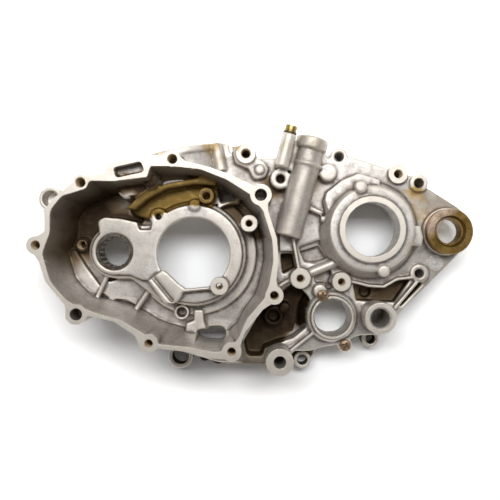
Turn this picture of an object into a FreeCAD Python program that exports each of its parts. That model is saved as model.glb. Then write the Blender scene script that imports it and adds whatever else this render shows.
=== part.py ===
import FreeCAD, Part
import Sketcher
import math
import os
import re

# Left half of the crankcase of a small single-cylinder off-road motorcycle engine.
# Millimetres. The half lies on its joint face, as on a bench: +Z points away from the
# other half, +X to the rear wheel and +Y to the cylinder. The origin is where the
# crankshaft's axis meets the joint face.

V = FreeCAD.Vector
UP = V(0, 0, 1)
doc = FreeCAD.newDocument("crankcase")

# Driving sizes

SIZES = {
    # Heights above the joint face
    "plate_top": 30.0,
    "cover_face": 80.0,
    "cavity_floor": 32.0,
    "crank_boss_face": 52.0,
    "pocket_floor": 13.0,
    "cover_pocket_depth": 10.0,
    "web": 5.5,
    "flange_depth": 14.0,
    # Crankshaft: chamber for the flywheel, main bearing seat and the hole for the shaft
    "crank_chamber_rad": 52.0,
    "main_bearing_rad": 36.0,
    "main_bearing_shoulder": 4.5,
    "crank_hole_rad": 31.7,
    "crank_boss_rad": 42.6,
    "crank_tier_rad": 55.0,
    "crank_tier_rise": 5.0,
    "boss_ledge": 3.2,
    "boss_ledge_drop": 4.0,
    # Balancer shaft and its needle bearing
    "balancer_x": -68.9,
    "balancer_y": 1.8,
    "balancer_boss_rad": 20.0,
    "balancer_chamber_rad": 29.0,
    "needle_cup_rad": 16.0,
    "needle_cup_wall": 0.9,
    "needle_cup_width": 20.0,
    "needle_cup_mouth": 13.4,
    "needle_cup_inset": 0.6,
    "needle_rad": 1.25,
    "needle_count": 18,
    "needle_gap": 0.02,
    "cage_wall": 1.0,
    "cage_gap": 0.15,
    "needle_shoulder": 1.6,
    # Cylinder: lean of its axis to the front, deck and the spigot for the liner
    "cylinder_lean": 12.6,
    "deck_height": 94.5,
    "deck_thickness": 5.5,
    "deck_half_width": 42.0,
    "spigot_rad": 40.0,
    "spigot_wall": 5.5,
    "spigot_foot": 61.0,
    "rod_window_rad": 26.0,
    "stud_x": 38.2,
    "stud_y": 8.5,
    "stud_foot": 68.0,
    "stud_rad": 6.5,
    # Gearbox output shaft
    "output_x": 156.9,
    "output_y": 21.4,
    "output_hole_rad": 23.85,
    "output_bearing_rad": 26.0,
    "output_bearing_depth": 16.0,
    "output_boss_rad": 37.0,
    "output_boss_foot_rad": 45.5,
    "output_boss_rise": 17.0,
    "output_lip_rad": 29.2,
    "output_lip_rise": 2.2,
    # Gearbox input shaft: blind bearing seat behind the release tube
    "input_x": 86.2,
    "input_y": 28.0,
    "input_bearing_rad": 11.0,
    "input_bearing_depth": 7.0,
    "push_rod_rad": 4.0,
    # Clutch release tube, which leans to the rear
    "release_lean": 14.6,
    "release_top_x": 105.5,
    "release_top_y": 102.2,
    "release_length": 89.5,
    "release_z": 40.0,
    "release_rad": 12.4,
    "release_bore_rad": 8.5,
    "release_bore_depth": 84.0,
    "release_collar_rad": 14.3,
    "release_collar_length": 10.0,
    "release_ring_rise": 1.0,
    "release_ring_width": 2.4,
    "release_ring_place": 25.0,
    # Bleed column beside the tube, with its plug and sealing washer
    "bleed_top_x": 84.0,
    "bleed_top_y": 104.8,
    "bleed_length": 30.0,
    "bleed_z": 50.0,
    "bleed_rad": 6.2,
    "bleed_web_width": 13.0,
    "bleed_web_top": 46.0,
    "bleed_hole_rad": 2.6,
    "bleed_hole_depth": 12.0,
    "washer_rad": 5.8,
    "washer_width": 1.5,
    "plug_head_rad": 4.9,
    "plug_head_height": 5.4,
    "plug_shank_length": 9.0,
    "plug_slot": 1.2,
    "plug_slot_depth": 1.6,
    # Shift drum and shift shaft
    "drum_x": 123.0,
    "drum_y": -57.2,
    "drum_hole_rad": 15.8,
    "drum_recess_rad": 17.0,
    "drum_recess": 3.0,
    "drum_ring_rad": 19.2,
    "drum_ring_rise": 10.0,
    "drum_skirt_rad": 31.0,
    "shift_x": 163.8,
    "shift_y": -56.6,
    "shift_hole_rad": 8.1,
    "shift_mouth_rad": 10.4,
    "shift_mouth_depth": 2.6,
    "shift_boss_rad": 14.0,
    "shift_boss_rise": 20.0,
    # Swingarm pivot and its bush
    "pivot_x": 226.4,
    "pivot_y": 19.7,
    "arm_end_rad": 24.6,
    "arm_foot": 20.0,
    "arm_top": 27.0,
    "pivot_boss_rise": 9.0,
    "pivot_boss_rad": 21.2,
    "bush_foot": 29.0,
    "bush_rad": 14.5,
    "bush_hole_rad": 10.9,
    "bush_flange_rad": 20.4,
    "bush_flange": 9.0,
    "bush_bevel": 3.2,
    "bush_ledge": 1.4,
    "bush_edge": 0.9,
    # Bearing screws
    "screw_head_rad": 5.3,
    "screw_head_height": 3.6,
    "screw_shank_rad": 2.9,
    "screw_shank_length": 9.0,
    "screw_cross": 1.3,
    "screw_cross_span": 5.4,
    "screw_cross_depth": 1.8,
    "screw_fit": 0.05,
    # Rises of the raised faces over the cavity's floor
    "crescent_rise": 5.0,
    "low_platform_rise": 6.0,
    "slot_pad_rise": 10.0,
    "breather_rim_rise": 13.0,
    "wall_step_rise": 29.0,
    # Rises and drops from the crankshaft boss's face
    "gold_step_drop": 6.0,
    "gold_band_rise": 8.0,
    "pointer_lug_rise": 6.0,
    "lug_groove_depth": 2.5,
    # Rises over the plate
    "output_corner_rise": 9.0,
    "web_plate_rise": 8.0,
    "tube_foot_rise": 4.0,
    "tube_bulge_rise": 11.0,
    # Back of the half
    "gear_chamber_depth": 17.0,
    "balancer_chamber_depth": 25.0,
    "small_chamber_depth": 20.0,
    # General casting sizes
    "root": 3.0,
    "far": 200.0,
}

# Tapped and drilled bosses: centre x and y, radius, height above what they stand on,
# radius of the hole and its depth. A depth over the height runs into the metal below.

COVER_BOSSES = {
    "cover_a": (-89.5, 59.2, 6.4, 4.1, 24.0),
    "cover_b": (-14.3, 78.4, 6.6, 4.1, 24.0),
    "cover_c": (58.2, 49.0, 9.0, 4.9, 20.0),
    "cover_d": (69.3, -33.5, 7.6, 3.7, 24.0),
    "cover_e": (34.2, -79.6, 8.1, 3.6, 24.0),
    "cover_f": (-33.7, -72.8, 7.8, 3.5, 24.0),
    "cover_g": (-93.3, -49.0, 8.6, 5.0, 20.0),
    "cover_h": (-126.4, 7.7, 7.7, 3.8, 24.0),
}
FLOOR_BOSSES = {
    "floor_front": (-100.6, 8.0, 6.2, 9.0, 4.0, 12.0),
    "floor_low": (-11.4, -52.1, 6.4, 10.0, 4.6, 12.0),
    "floor_rear": (48.5, 26.2, 7.4, 31.0, 3.0, 18.0),
    "floor_crank": (23.2, -27.4, 7.8, 31.0, 2.9, 18.0),
    "floor_gold": (11.7, 50.1, 6.8, 28.0, 4.2, 18.0),
    "floor_bump": (1.1, 43.0, 5.0, 21.5, 0.0, 0.0),
    "floor_column": (-34.6, 62.4, 6.4, 36.0, 0.0, 0.0),
    "floor_crank_hole": (-30.6, 32.4, 7.6, 20.0, 2.6, 12.0),
}
PLATE_BOSSES = {
    "plate_deck": (45.6, 89.4, 9.0, 10.0, 4.2, 28.0),
    "plate_pad": (58.0, 75.0, 4.1, 11.0, 0.0, 0.0),
    "plate_tube": (76.3, 66.3, 8.9, 15.0, 4.0, 20.0),
    "plate_mid": (94.6, -22.4, 9.4, 8.0, 3.5, 18.0),
    "plate_low": (131.8, -25.6, 8.6, 6.0, 3.3, 16.0),
    "plate_foot": (75.2, -94.0, 12.0, 25.0, 5.4, 60.0),
    "plate_blind": (71.2, -58.0, 9.4, -7.0, 5.4, 8.0),
    "plate_nub": (81.1, -50.0, 4.8, -3.0, 0.0, 0.0),
    "plate_rear": (183.4, 71.9, 8.8, 4.0, 3.9, 35.0),
    "plate_screw": (112.2, -33.6, 6.0, 8.0, 0.0, 0.0),
    "plate_pin_top": (146.7, 58.8, 5.3, 19.5, 0.0, 0.0),
    "plate_pin_low": (166.9, -15.4, 5.2, 19.0, 0.0, 0.0),
}
EARS = {
    "ear_front": (-138.0, 50.8, 11.0, 16.0, 7.4),
    "ear_bottom": (-15.9, -96.4, 11.8, 15.0, 7.8),
    "ear_top": (130.5, 88.0, 8.0, 30.0, 4.1),
    "ear_rear": (202.6, 63.8, 8.2, 32.0, 4.4),
    "ear_arm": (203.0, -18.1, 8.2, 32.0, 4.1),
    "ear_low": (162.3, -80.5, 8.2, 15.0, 4.6),
    "ear_mid": (98.4, -100.2, 8.2, 15.0, 4.7),
    "ear_screw": (135.8, -83.5, 6.4, 30.5, 0.0),
    "ear_small_a": (6.6, -97.6, 5.3, 10.0, 0.0),
    "ear_small_b": (19.0, -99.2, 6.2, 10.0, 0.0),
}

# Outlines, clockwise seen from above: each corner is x, y and the radius of its rounding, 0 if sharp

CASE_OUTLINE = (
    (-131, -8, 0), (-131, 40, 10), (-110, 58, 0), (-86, 69, 0), (-67, 82, 0),
    (18.5, 101, 0), (30, 99.5, 0), (30.5, 92, 0), (54, 93, 0), (56, 86.5, 0), (78, 86.5, 0),
    (79, 99, 0), (90, 102, 0), (117, 93, 0), (121, 86.5, 0), (139, 87.5, 0), (147, 86.5, 0),
    (177, 76.5, 0), (199, 70, 0), (210, 60, 0), (248, 36, 22), (248, 8, 22), (197, -43, 0),
    (184, -57, 0), (176, -68, 0), (168, -74, 0), (148, -75, 0), (142, -77.5, 0), (128, -83, 0),
    (113, -86, 0), (104, -89, 0), (90, -89, 0), (82, -97, 0), (64, -101, 0), (20, -99, 0),
    (-18, -88, 0), (-42, -76, 0), (-70, -57, 0), (-100, -51, 10), (-120, -30, 0),
)
FRONT_WEB = (
    (-140, 40, 0), (-149, 50, 0), (-138, 61.5, 0), (-116, 56, 0), (-116, 30, 0), (-128, 34, 0),
)
MID_WEB = (
    (84, -84, 0), (118, -84, 0), (106.4, -98.5, 0), (102.5, -107.3, 0), (93, -106.4, 0), (84, -100, 0),
)
LOW_WEB = (
    (150, -70, 0), (172, -70, 0), (170.4, -79, 0), (168.4, -86, 0), (155.2, -84.6, 0),
)
ARM_UNDERCUT = (
    (206, 52, 0), (212, 58, 0), (216, 74, 0), (262, 74, 0), (262, -44, 0), (213, -44, 0),
    (213, -12, 0), (206, -7, 0),
)
SUMP_OUTLINE = (
    (14, -88, 0), (14, -101, 0), (27, -104.3, 0), (66, -104.3, 0), (78, -99, 0), (78, -88, 0),
)
COVER_OUTLINE = (
    (-119, 19, 0), (-119, 37, 6), (-112, 46, 0), (-97, 58.5, 0), (-84, 65, 0), (-70, 66, 0),
    (-67, 74.5, 0), (-37.5, 81.5, 0), (-24, 81.5, 0), (-15, 84.5, 6), (-3, 76.5, 0), (15, 72.3, 0),
    (34, 65.5, 0), (60, 53, 5), (64.3, 44, 0), (64.3, 36, 0), (71.5, 13, 0), (73, -5, 0),
    (71, -21, 0), (74, -36, 0), (60, -45, 0), (45, -64, 0), (41, -76, 0), (40, -86, 0),
    (28, -86, 0), (12, -84.5, 0), (0, -80, 0), (-26, -77, 0), (-40, -78, 0), (-45, -66.5, 0),
    (-62, -55, 0), (-82, -50.5, 0), (-102, -53, 0), (-102, -42, 6), (-118.5, -22, 0),
    (-123.5, -6, 0), (-129, 2, 0), (-129, 13, 0),
)
CAVITY_MOUTH = (
    (-121, 1, 10), (-114.6, 18, 12), (-114.6, 36, 12), (-105, 48, 8), (-90, 52.5, 0), (-81, 60.5, 0),
    (-63, 60, 0), (-35, 63.5, 0), (-32, 72.5, 0), (-16, 72.5, 0), (9, 69.8, 20), (30, 61.5, 20),
    (49, 49.5, 0), (60, 36, 0), (67.5, 12, 20), (68.5, -5, 20), (65, -24, 0), (61, -36, 0),
    (46.5, -53, 14), (40, -68, 0), (33, -78, 0), (20, -80, 0), (2, -76, 0), (-25, -73.5, 0),
    (-34, -67, 0), (-57, -53.5, 14), (-78, -47.5, 20), (-100, -38.5, 20), (-114.6, -22, 20),
)
CAVITY_FLOOR = (
    (-113.5, 2, 10), (-107.5, 18, 12), (-106.5, 32, 12), (-99, 43, 8), (-87, 48, 0), (-77, 54, 0),
    (-60, 54, 0), (-36, 57.5, 0), (-30, 62, 0), (-16, 64, 0), (6, 63, 20), (26, 56, 20),
    (43, 45, 0), (54, 33, 0), (61, 11, 20), (62, -5, 20), (58, -24, 0), (54, -36, 0),
    (43.5, -51, 14), (38, -62, 0), (31, -68.5, 0), (18, -70, 0), (-4, -68.5, 0), (-24, -63, 0),
    (-34, -59, 0), (-54, -46.5, 14), (-74, -41, 20), (-92, -37, 14), (-106, -22.5, 20),
)
COVER_POCKET = (
    (-62.8, 71.2, 2.5), (-40, 76.4, 2.5), (-37.2, 67.9, 2.5), (-60.5, 62.9, 2.5),
)
WALL_STEP = (
    (-65, 66, 0), (-37, 67, 0), (-36, 56, 0), (-45, 49.5, 0), (-58, 46.5, 4), (-63.5, 52, 4),
)
LOW_PLATFORM = (
    (-82, -36, 0), (-80, -26, 0), (-60, -20, 0), (-41, -26, 0), (-41, -39.5, 0), (-51, -47, 0),
    (-62.5, -41.5, 0), (-76, -40.5, 0),
)
BOSS_BRIDGE = (
    (-82, 17, 0), (-83.5, 29.5, 5), (-77, 32, 0), (-63, 30.8, 0), (-49, 27.6, 0), (-47, 21, 0),
    (-37, 21, 0), (-36, 34, 0), (-14, 36, 0), (-14, -26, 0), (-45, -22.5, 0), (-56, -18, 0),
    (-68, -18.4, 8), (-70, 2, 0),
)
LEDGE_BRIDGE = (
    (-86, 2, 0), (-86, 17, 0), (-70, 25, 0), (-20, 25, 0), (-16, -42, 0), (-30, -41, 0),
    (-44, -30.5, 0), (-55, -21.7, 0), (-68, -22, 0), (-80, -18, 0),
)
CRESCENT = (
    (-112.5, 3, 0), (-107.5, 3.5, 0), (-98, -12, 0), (-85, -29.5, 0), (-86.5, -38, 0),
    (-98.5, -32, 0), (-109, -19, 0),
)
FLOOR_RIBS = {
    "rib_front": ((-78, -20), (-86.5, -38.5), 3.6, 11.0),
    "rib_low": ((-41, -33), (-52, -49.5), 4.0, 11.0),
    "rib_lug": ((-8.5, -31.6), (20, -28.8), 2.8, 26.0),
}
POINTER_LUG = (
    (-38.8, -23, 0), (-26, -13.6, 0), (-22.5, -15.6, 0), (-19.2, -18.8, 0), (-12.5, -25.3, 0),
    (-7.4, -28.8, 0), (-9.5, -37, 0), (-14, -42.5, 5), (-24.5, -43, 0),
)
LUG_GROOVE = ((-34.5, -19.6), (-17.0, -41.0), 3.2)
GOLD_STEP = (
    (-57.5, 38.5, 0), (-49, 47, 0), (-37.5, 55.5, 0), (-20, 61, 0), (18, 68, 0), (22, 55, 0),
    (16, 36, 0), (-20, 34, 0), (-40, 30, 0), (-50, 33, 0),
)
GOLD_BAND = (
    (-57.5, 38.5, 0), (-49, 47, 0), (-37.5, 55.5, 0), (-20, 61, 0), (18, 68, 0), (20.5, 58.5, 0),
    (2, 60, 0), (-22, 55.8, 0), (-38, 47.5, 0), (-49, 38, 0),
)
BREATHER_RIM = (
    (17.5, 60, 0), (19, 46, 0), (22, 40, 0), (31.5, 43, 0), (39.5, 43.5, 0), (42, 52, 0), (30, 62, 0),
)
BREATHER_HOLE = (
    (20.5, 57.5, 0), (23.5, 44, 0), (29.5, 46.5, 0), (36.5, 47.5, 0), (37, 51.5, 0), (25.5, 59.5, 0),
)
DRAIN_SLOT = (
    (2.6, -69, 0), (9.5, -69.2, 0), (12.5, -66.2, 0), (24, -66, 5), (29, -72, 5), (24, -78.6, 5),
    (10, -78, 0), (2.2, -74.6, 0),
)
SLOT_PAD = (
    (-7.5, -62, 0), (-0.5, -59.5, 0), (-0.5, -50, 0), (7.6, -50, 0), (8, -60, 0), (10.5, -66.3, 0),
    (2, -68.2, 0), (0.8, -77, 0), (-8, -77, 0),
)
WEB_PLATE = (
    (33, 96, 0), (50, 97.5, 0), (55.5, 86, 0), (62.5, 82, 0), (66, 76, 0), (63, 68, 5), (53, 66, 5),
    (48, 76, 0), (36, 81, 5),
)
TUBE_FOOT = (
    (76, 17, 0), (91, 14, 0), (90, 2, 0), (76, 2, 0),
)
TUBE_RIB = ((88.0, 13.5), (93.0, -14.0), 2.6, 8.0)
DIAGONAL_RIB = ((73.0, -31.0), (88.5, -22.0), 3.0, 4.0)
SIDE_POCKETS = {
    "pocket_step": (((93.5, 6, 0), (113, 12.5, 0), (121, -4, 0), (108, -9, 0), (99, -8, 0)), 4.0),
    "pocket_grooved": (((94.5, 1.5, 0), (112, 7, 0), (119, -5, 0), (107, -8.5, 0), (99.5, -7, 0)), 9.0),
    "pocket_low": (((107, -19, 0), (122.5, -13.5, 0), (124, -19, 0), (120.5, -27.5, 0),
                    (109, -27, 0)), 9.0),
    "pocket_under": (((143, -26.5, 0), (157, -30.5, 0), (170, -31.5, 0), (182, -24.5, 0), (196, -23, 0),
                      (181, -44.5, 0), (146, -43, 0)), 9.5),
    "pocket_arm": (((200, -26, 0), (207, -27, 0), (187, -48, 0), (184, -48, 0)), 8.0),
}
DEEP_POCKETS = {
    "pocket_dark": ((77, 0, 0), (88, 0, 0), (90.5, -13, 0), (79, -19, 0)),
    "pocket_foot": ((64, -46, 0), (77, -37.5, 0), (87.6, -28, 0), (97, -33, 0), (103, -40, 0),
                    (105, -55, 0), (100, -68, 6), (88, -77.5, 6), (75, -81, 0), (62, -86, 0),
                    (61, -93, 4), (47, -93, 4), (44, -79, 0), (54, -62, 0)),
}

# Blind recesses: centre x and y, height of the floor and radius

DARK_HOLE = (156.0, -35.6, 14.0, 5.2)
SMALL_RECESS = (121.4, -29.9, 21.0, 3.4)

PLATE_RIBS = {
    "rib_drum": ((86.0, -88.0), (108.0, -70.5), 2.6, 5.0),
    "rib_arm": ((201.0, -25.0), (180.0, -50.0), 3.0, 4.0),
    "rib_side": ((113.0, 31.0), (130.0, 31.5), 4.5, 7.0),
    "rib_upright": ((117.5, 48.0), (120.5, 32.0), 4.5, 7.0),
    "rib_fan": ((101.0, 42.0), (114.0, 36.0), 4.0, 7.0),
    "rib_wave_a": ((138.0, -24.5), (157.0, -29.4), 2.6, 3.5),
    "rib_wave_b": ((156.5, -29.4), (171.0, -30.2), 2.6, 3.5),
    "rib_wave_c": ((170.0, -30.4), (183.0, -23.0), 2.6, 3.5),
    "rib_wave_d": ((182.0, -23.4), (198.0, -21.5), 2.6, 3.5),
}
ROUND_RIB = ((94.6, -21.5), (128.0, -8.0), 4.2)
OUTPUT_CORNER = (
    (116, 48, 0), (118, 55, 0), (132, 66, 0), (147, 72, 0), (166, 66, 0), (160, 21, 0), (125, 21, 0),
)
OUTPUT_LUG = (
    (184, 24, 0), (200, 24.5, 0), (202.5, 14, 0), (201, 6.5, 0), (186, 8, 0),
)
TUBE_BULGE = (119.0, 72.5, 8.0)

# Chambers open at the joint face, with webs of metal left between them

GEAR_CHAMBER = (
    (66, 62, 8), (86, 74, 0), (118, 77, 0), (142, 78, 0), (172, 69, 0), (196, 52, 12), (196, -10, 0),
    (184, -27, 8), (152, -26, 0), (131, -26, 0), (110, -30, 0), (97, -22, 0), (96, 2, 0), (76, 9, 0),
    (74, 20, 0),
)
SHIFT_CHAMBER = (
    (104, -39, 0), (150, -42, 0), (172, -42, 0), (176, -57, 0), (166, -68, 0), (150, -69, 0),
    (130, -75, 0), (106, -77, 8),
)
SUMP_CHAMBER = (
    (-24, -66, 6), (-6, -60, 0), (36, -60, 0), (42, -68, 0), (40, -92, 6), (24, -91, 0), (-12, -80, 0),
)
FRONT_CHAMBER = (
    (-123, -8, 0), (-123, 36, 6), (-106, 49, 0), (-84, 60, 0), (-62, 66, 6), (-54, 55, 5), (-62, 38, 10),
    (-88, 35, 10), (-104, 14, 0), (-104, -12, 0), (-112, -26, 5),
)
LOW_FRONT_CHAMBER = (
    (-99, -24, 6), (-84, -34, 0), (-54, -35, 8), (-44, -52, 6), (-50, -63, 0), (-68, -50, 0), (-97, -43, 6),
)


# The sheet holds every driving size under a name

sheet = doc.addObject("Spreadsheet::Sheet", "Sizes")
rows = dict(SIZES)
for name, (x, y, radius, hole, depth) in COVER_BOSSES.items():
    rows.update({name + "_x": x, name + "_y": y, name + "_rad": radius})
    rows.update({name + "_hole": hole, name + "_depth": depth})
for name, (x, y, radius, rise, hole, depth) in {**FLOOR_BOSSES, **PLATE_BOSSES}.items():
    rows.update({name + "_x": x, name + "_y": y, name + "_rad": radius, name + "_rise": rise})
    rows.update({name + "_hole": hole, name + "_depth": depth})
for name, (x, y, radius, rise, hole) in EARS.items():
    rows.update({name + "_x": x, name + "_y": y, name + "_rad": radius})
    rows.update({name + "_rise": rise, name + "_hole": hole})
for row, (name, value) in enumerate(rows.items(), 1):
    sheet.set("A%d" % row, name)
    sheet.set("B%d" % row, str(value))
    sheet.setAlias("B%d" % row, name)
doc.recompute()

FUNCTIONS = ("sin", "cos", "tan", "sqrt")


def linked(text):
    """An expression of the document: each plain name in the text is a cell of the sheet."""
    def cell(word):
        return word.group() if word.group() in FUNCTIONS else "Sizes." + word.group()
    return re.sub(r"[a-z][a-z_0-9]*", cell, str(text))


def size(text):
    """The value of such an expression now, for outlines that are worked out in code."""
    names = {name: getattr(sheet, name) for name in rows}
    total = 0.0
    for sign, term in re.findall(r"([+-]?)\s*([a-z_0-9.]+)", str(text)):
        value = names[term] if term in names else float(term)
        total += -value if sign == "-" else value
    return total


def bind(thing, **properties):
    """Bind properties to the sheet; two underscores in a name stand for a dot."""
    for name, text in properties.items():
        thing.setExpression(name.replace("__", "."), linked(text))
    return thing


def place(thing, x, y, z):
    return bind(thing, Placement__Base__x=x, Placement__Base__y=y, Placement__Base__z=z)


def cylinder(name, x, y, foot, top, radius):
    """An upright cylinder between two heights."""
    solid = place(doc.addObject("Part::Cylinder", name), x, y, foot)
    return bind(solid, Radius=radius, Height="(%s) - (%s)" % (top, foot))


def boss(name, foot, top):
    """The round boss of a table row, between two heights."""
    return cylinder(name, name + "_x", name + "_y", foot, top, name + "_rad")


def drilled(name, foot, top):
    """The hole of a table row, between two heights."""
    return cylinder(name + "_bore", name + "_x", name + "_y", foot, top + " + 1", name + "_hole")


def cone(name, x, y, foot, top, foot_radius, top_radius):
    """An upright tapered boss between two heights."""
    solid = place(doc.addObject("Part::Cone", name), x, y, foot)
    return bind(solid, Radius1=foot_radius, Radius2=top_radius, Height="(%s) - (%s)" % (top, foot))


def rounded(corners):
    """Lines and tangent arcs of a closed outline, each corner rounded by its own radius."""
    points = [V(x, y, 0) for x, y, radius in corners]
    count = len(points)
    arcs = []
    for i in range(count):
        if not corners[i][2]:
            arcs.append((points[i], None, points[i]))
            continue
        back = points[i - 1] - points[i]
        ahead = points[(i + 1) % count] - points[i]
        shorter = min(back.Length, ahead.Length)
        half = back.getAngle(ahead) / 2
        reach = min(corners[i][2] / math.tan(half), 0.48 * shorter)
        back.normalize()
        ahead.normalize()
        radius = reach * math.tan(half)
        towards = (back + ahead).normalize()
        middle = points[i] + towards * (radius / math.sin(half) - radius)
        arcs.append((points[i] + back * reach, middle, points[i] + ahead * reach))
    edges = []
    for i in range(count):
        edges.append(Part.LineSegment(arcs[i - 1][2], arcs[i][0]))
        if arcs[i][1]:
            edges.append(Part.Arc(*arcs[i]))
    return edges


def outline(name, corners, height):
    """A flat sketch of a rounded outline at a height."""
    sketch = doc.addObject("Sketcher::SketchObject", name + "_outline")
    sketch.addGeometry(rounded(corners), False)
    return bind(sketch, Placement__Base__z=height)


def prism(name, corners, foot, top):
    """An upright solid on a rounded outline, between two heights."""
    solid = doc.addObject("Part::Extrusion", name)
    solid.Base = outline(name, corners, foot)
    solid.DirMode = "Custom"
    solid.Dir = UP
    solid.Solid = True
    return bind(solid, LengthFwd="(%s) - (%s)" % (top, foot))


def bar(name, ends, width, foot, top):
    """An upright rib of a given width between two points of the plan."""
    (x0, y0), (x1, y1) = ends
    run = math.hypot(x1 - x0, y1 - y0)
    turn = math.degrees(math.atan2(y1 - y0, x1 - x0))
    solid = doc.addObject("Part::Box", name)
    solid.Length = run
    solid.Width = width
    bind(solid, Height="(%s) - (%s)" % (top, foot))
    side = FreeCAD.Rotation(UP, turn)
    start = V(x0, y0, size(foot)) + side.multVec(V(0, -width / 2, 0))
    solid.Placement = FreeCAD.Placement(start, side)
    return bind(solid, Placement__Base__z=foot)


def joined(name, solids, refine=False):
    fused = doc.addObject("Part::MultiFuse", name)
    fused.Shapes = solids
    fused.Refine = refine
    return fused


def cut(name, base, tool, refine=False):
    result = doc.addObject("Part::Cut", name)
    result.Base = base
    result.Tool = tool
    result.Refine = refine
    return result


def along(name, angle, x, y, z, start, end, radius, end_radius=None):
    """A round piece lying at a height, along a line that leans by an angle from +Y."""
    kind = "Part::Cylinder" if end_radius is None else "Part::Cone"
    solid = doc.addObject(kind, name)
    lean = size(angle)
    run = V(-math.sin(math.radians(lean)), math.cos(math.radians(lean)), 0)
    turn = FreeCAD.Rotation(UP, run)
    foot = V(size(x), size(y), size(z)) + run * size(start)
    solid.Placement = FreeCAD.Placement(foot, turn)
    bind(solid, Placement__Base__z=z, Height="(%s) - (%s)" % (end, start))
    if end_radius is None:
        return bind(solid, Radius=radius)
    return bind(solid, Radius1=radius, Radius2=end_radius)


# Casting: outer walls

def case_walls():
    walls = [
        prism("case_wall", CASE_OUTLINE, "0", "plate_top"),
        prism("sump_wall", SUMP_OUTLINE, "0", "flange_depth"),
        prism("front_web", FRONT_WEB, "3", "flange_depth - 1"),
        prism("cover_wall", COVER_OUTLINE, "flange_depth", "cover_face"),
        prism("mid_web", MID_WEB, "0", "flange_depth - 2"),
        prism("low_web", LOW_WEB, "0", "flange_depth - 2"),
        cylinder("arm_end", "pivot_x", "pivot_y", "arm_foot", "arm_top", "arm_end_rad"),
        cylinder("pivot_boss", "pivot_x", "pivot_y", "arm_foot", "arm_top + pivot_boss_rise",
                 "pivot_boss_rad"),
    ]
    for name in EARS:
        walls.append(boss(name, "0", name + "_rise"))
    return walls


def spigot_housing():
    """Half round wall round the cylinder's liner, and the flat deck at its end."""
    wall = along("spigot_wall_tube", "cylinder_lean", "0", "0", "0", "spigot_foot - spigot_wall",
                 "deck_height - 0.5", "spigot_rad + spigot_wall")
    deck = doc.addObject("Part::Box", "deck")
    lean = math.radians(size("cylinder_lean"))
    run = V(-math.sin(lean), math.cos(lean), 0)
    side = V(math.cos(lean), math.sin(lean), 0)
    bind(deck, Length="2 * deck_half_width", Width="deck_thickness", Height="spigot_rad + spigot_wall")
    corner = run * (size("deck_height") - size("deck_thickness")) - side * size("deck_half_width")
    deck.Placement = FreeCAD.Placement(corner, FreeCAD.Rotation(UP, math.degrees(lean)))
    crown = along("deck_crown", "cylinder_lean", "0", "0", "0", "deck_height - deck_thickness",
                  "deck_height", "spigot_rad + spigot_wall + 1.5")
    shaped = doc.addObject("Part::MultiCommon", "deck_shaped")
    shaped.Shapes = [deck, crown]
    above = doc.addObject("Part::Box", "above_joint")
    bind(above, Length="2 * far", Width="2 * far", Height="far")
    place(above, "0 - far", "0 - far", "0")
    upper = doc.addObject("Part::MultiCommon", "spigot_upper")
    upper.Shapes = [joined("spigot_round", [wall, shaped]), above]
    stud = along("stud_boss", "cylinder_lean", "stud_x", "stud_y", "plate_top - root", "stud_foot",
                 "deck_height - 1", "stud_rad")
    return [upper, stud]


def cavity():
    """Room for the flywheel and stator, with walls that draft in to the floor."""
    loft = doc.addObject("Part::Loft", "cavity_room")
    loft.Sections = [outline("cavity_floor_edge", CAVITY_FLOOR, "cavity_floor"),
                     outline("cavity_mouth_edge", CAVITY_MOUTH, "cover_face")]
    loft.Solid = True
    loft.Ruled = True
    return loft


def side_pockets():
    cuts = [
        prism("cover_pocket", COVER_POCKET, "cover_face - cover_pocket_depth", "cover_face + 1"),
    ]
    for name, (corners, depth) in SIDE_POCKETS.items():
        cuts.append(prism(name, corners, "plate_top - %s" % depth, "plate_top + 1"))
    for name, corners in DEEP_POCKETS.items():
        cuts.append(prism(name, corners, "pocket_floor", "plate_top + 1"))
    return cuts


# Casting: bosses, ribs and raised faces on the floor and plate

def floor_features():
    base = "cavity_floor - root"
    parts = [
        cylinder("crank_tier", "0", "0", base, "cavity_floor + crank_tier_rise", "crank_tier_rad"),
        cylinder("crank_ledge", "0", "0", base, "crank_boss_face - boss_ledge_drop",
                 "crank_boss_rad + boss_ledge"),
        cylinder("crank_boss", "0", "0", base, "crank_boss_face", "crank_boss_rad"),
        cylinder("balancer_boss", "balancer_x", "balancer_y", base, "crank_boss_face", "balancer_boss_rad"),
        cylinder("balancer_ledge", "balancer_x", "balancer_y", base, "crank_boss_face - boss_ledge_drop",
                 "balancer_boss_rad + boss_ledge"),
        prism("boss_bridge", BOSS_BRIDGE, base, "crank_boss_face"),
        prism("ledge_bridge", LEDGE_BRIDGE, base, "crank_boss_face - boss_ledge_drop"),
        prism("crescent", CRESCENT, base, "cavity_floor + crescent_rise"),
        prism("wall_step", WALL_STEP, base, "cavity_floor + wall_step_rise"),
        prism("low_platform", LOW_PLATFORM, base, "cavity_floor + low_platform_rise"),
        prism("pointer_lug", POINTER_LUG, base, "crank_boss_face + pointer_lug_rise"),
        prism("gold_step", GOLD_STEP, base, "crank_boss_face - gold_step_drop"),
        prism("gold_band", GOLD_BAND, base, "crank_boss_face + gold_band_rise"),
        prism("breather_rim", BREATHER_RIM, base, "cavity_floor + breather_rim_rise"),
        prism("slot_pad", SLOT_PAD, base, "cavity_floor + slot_pad_rise"),
    ]
    for name in FLOOR_BOSSES:
        parts.append(boss(name, base, "cavity_floor + %s_rise" % name))
    for name, (start, end, width, rise) in FLOOR_RIBS.items():
        parts.append(bar(name, (start, end), width, base, "cavity_floor + %s" % rise))
    return parts


def cover_bosses():
    """Bolt bosses of the cover face, down to the plate."""
    return [boss(name, "flange_depth", "cover_face") for name in COVER_BOSSES]


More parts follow.
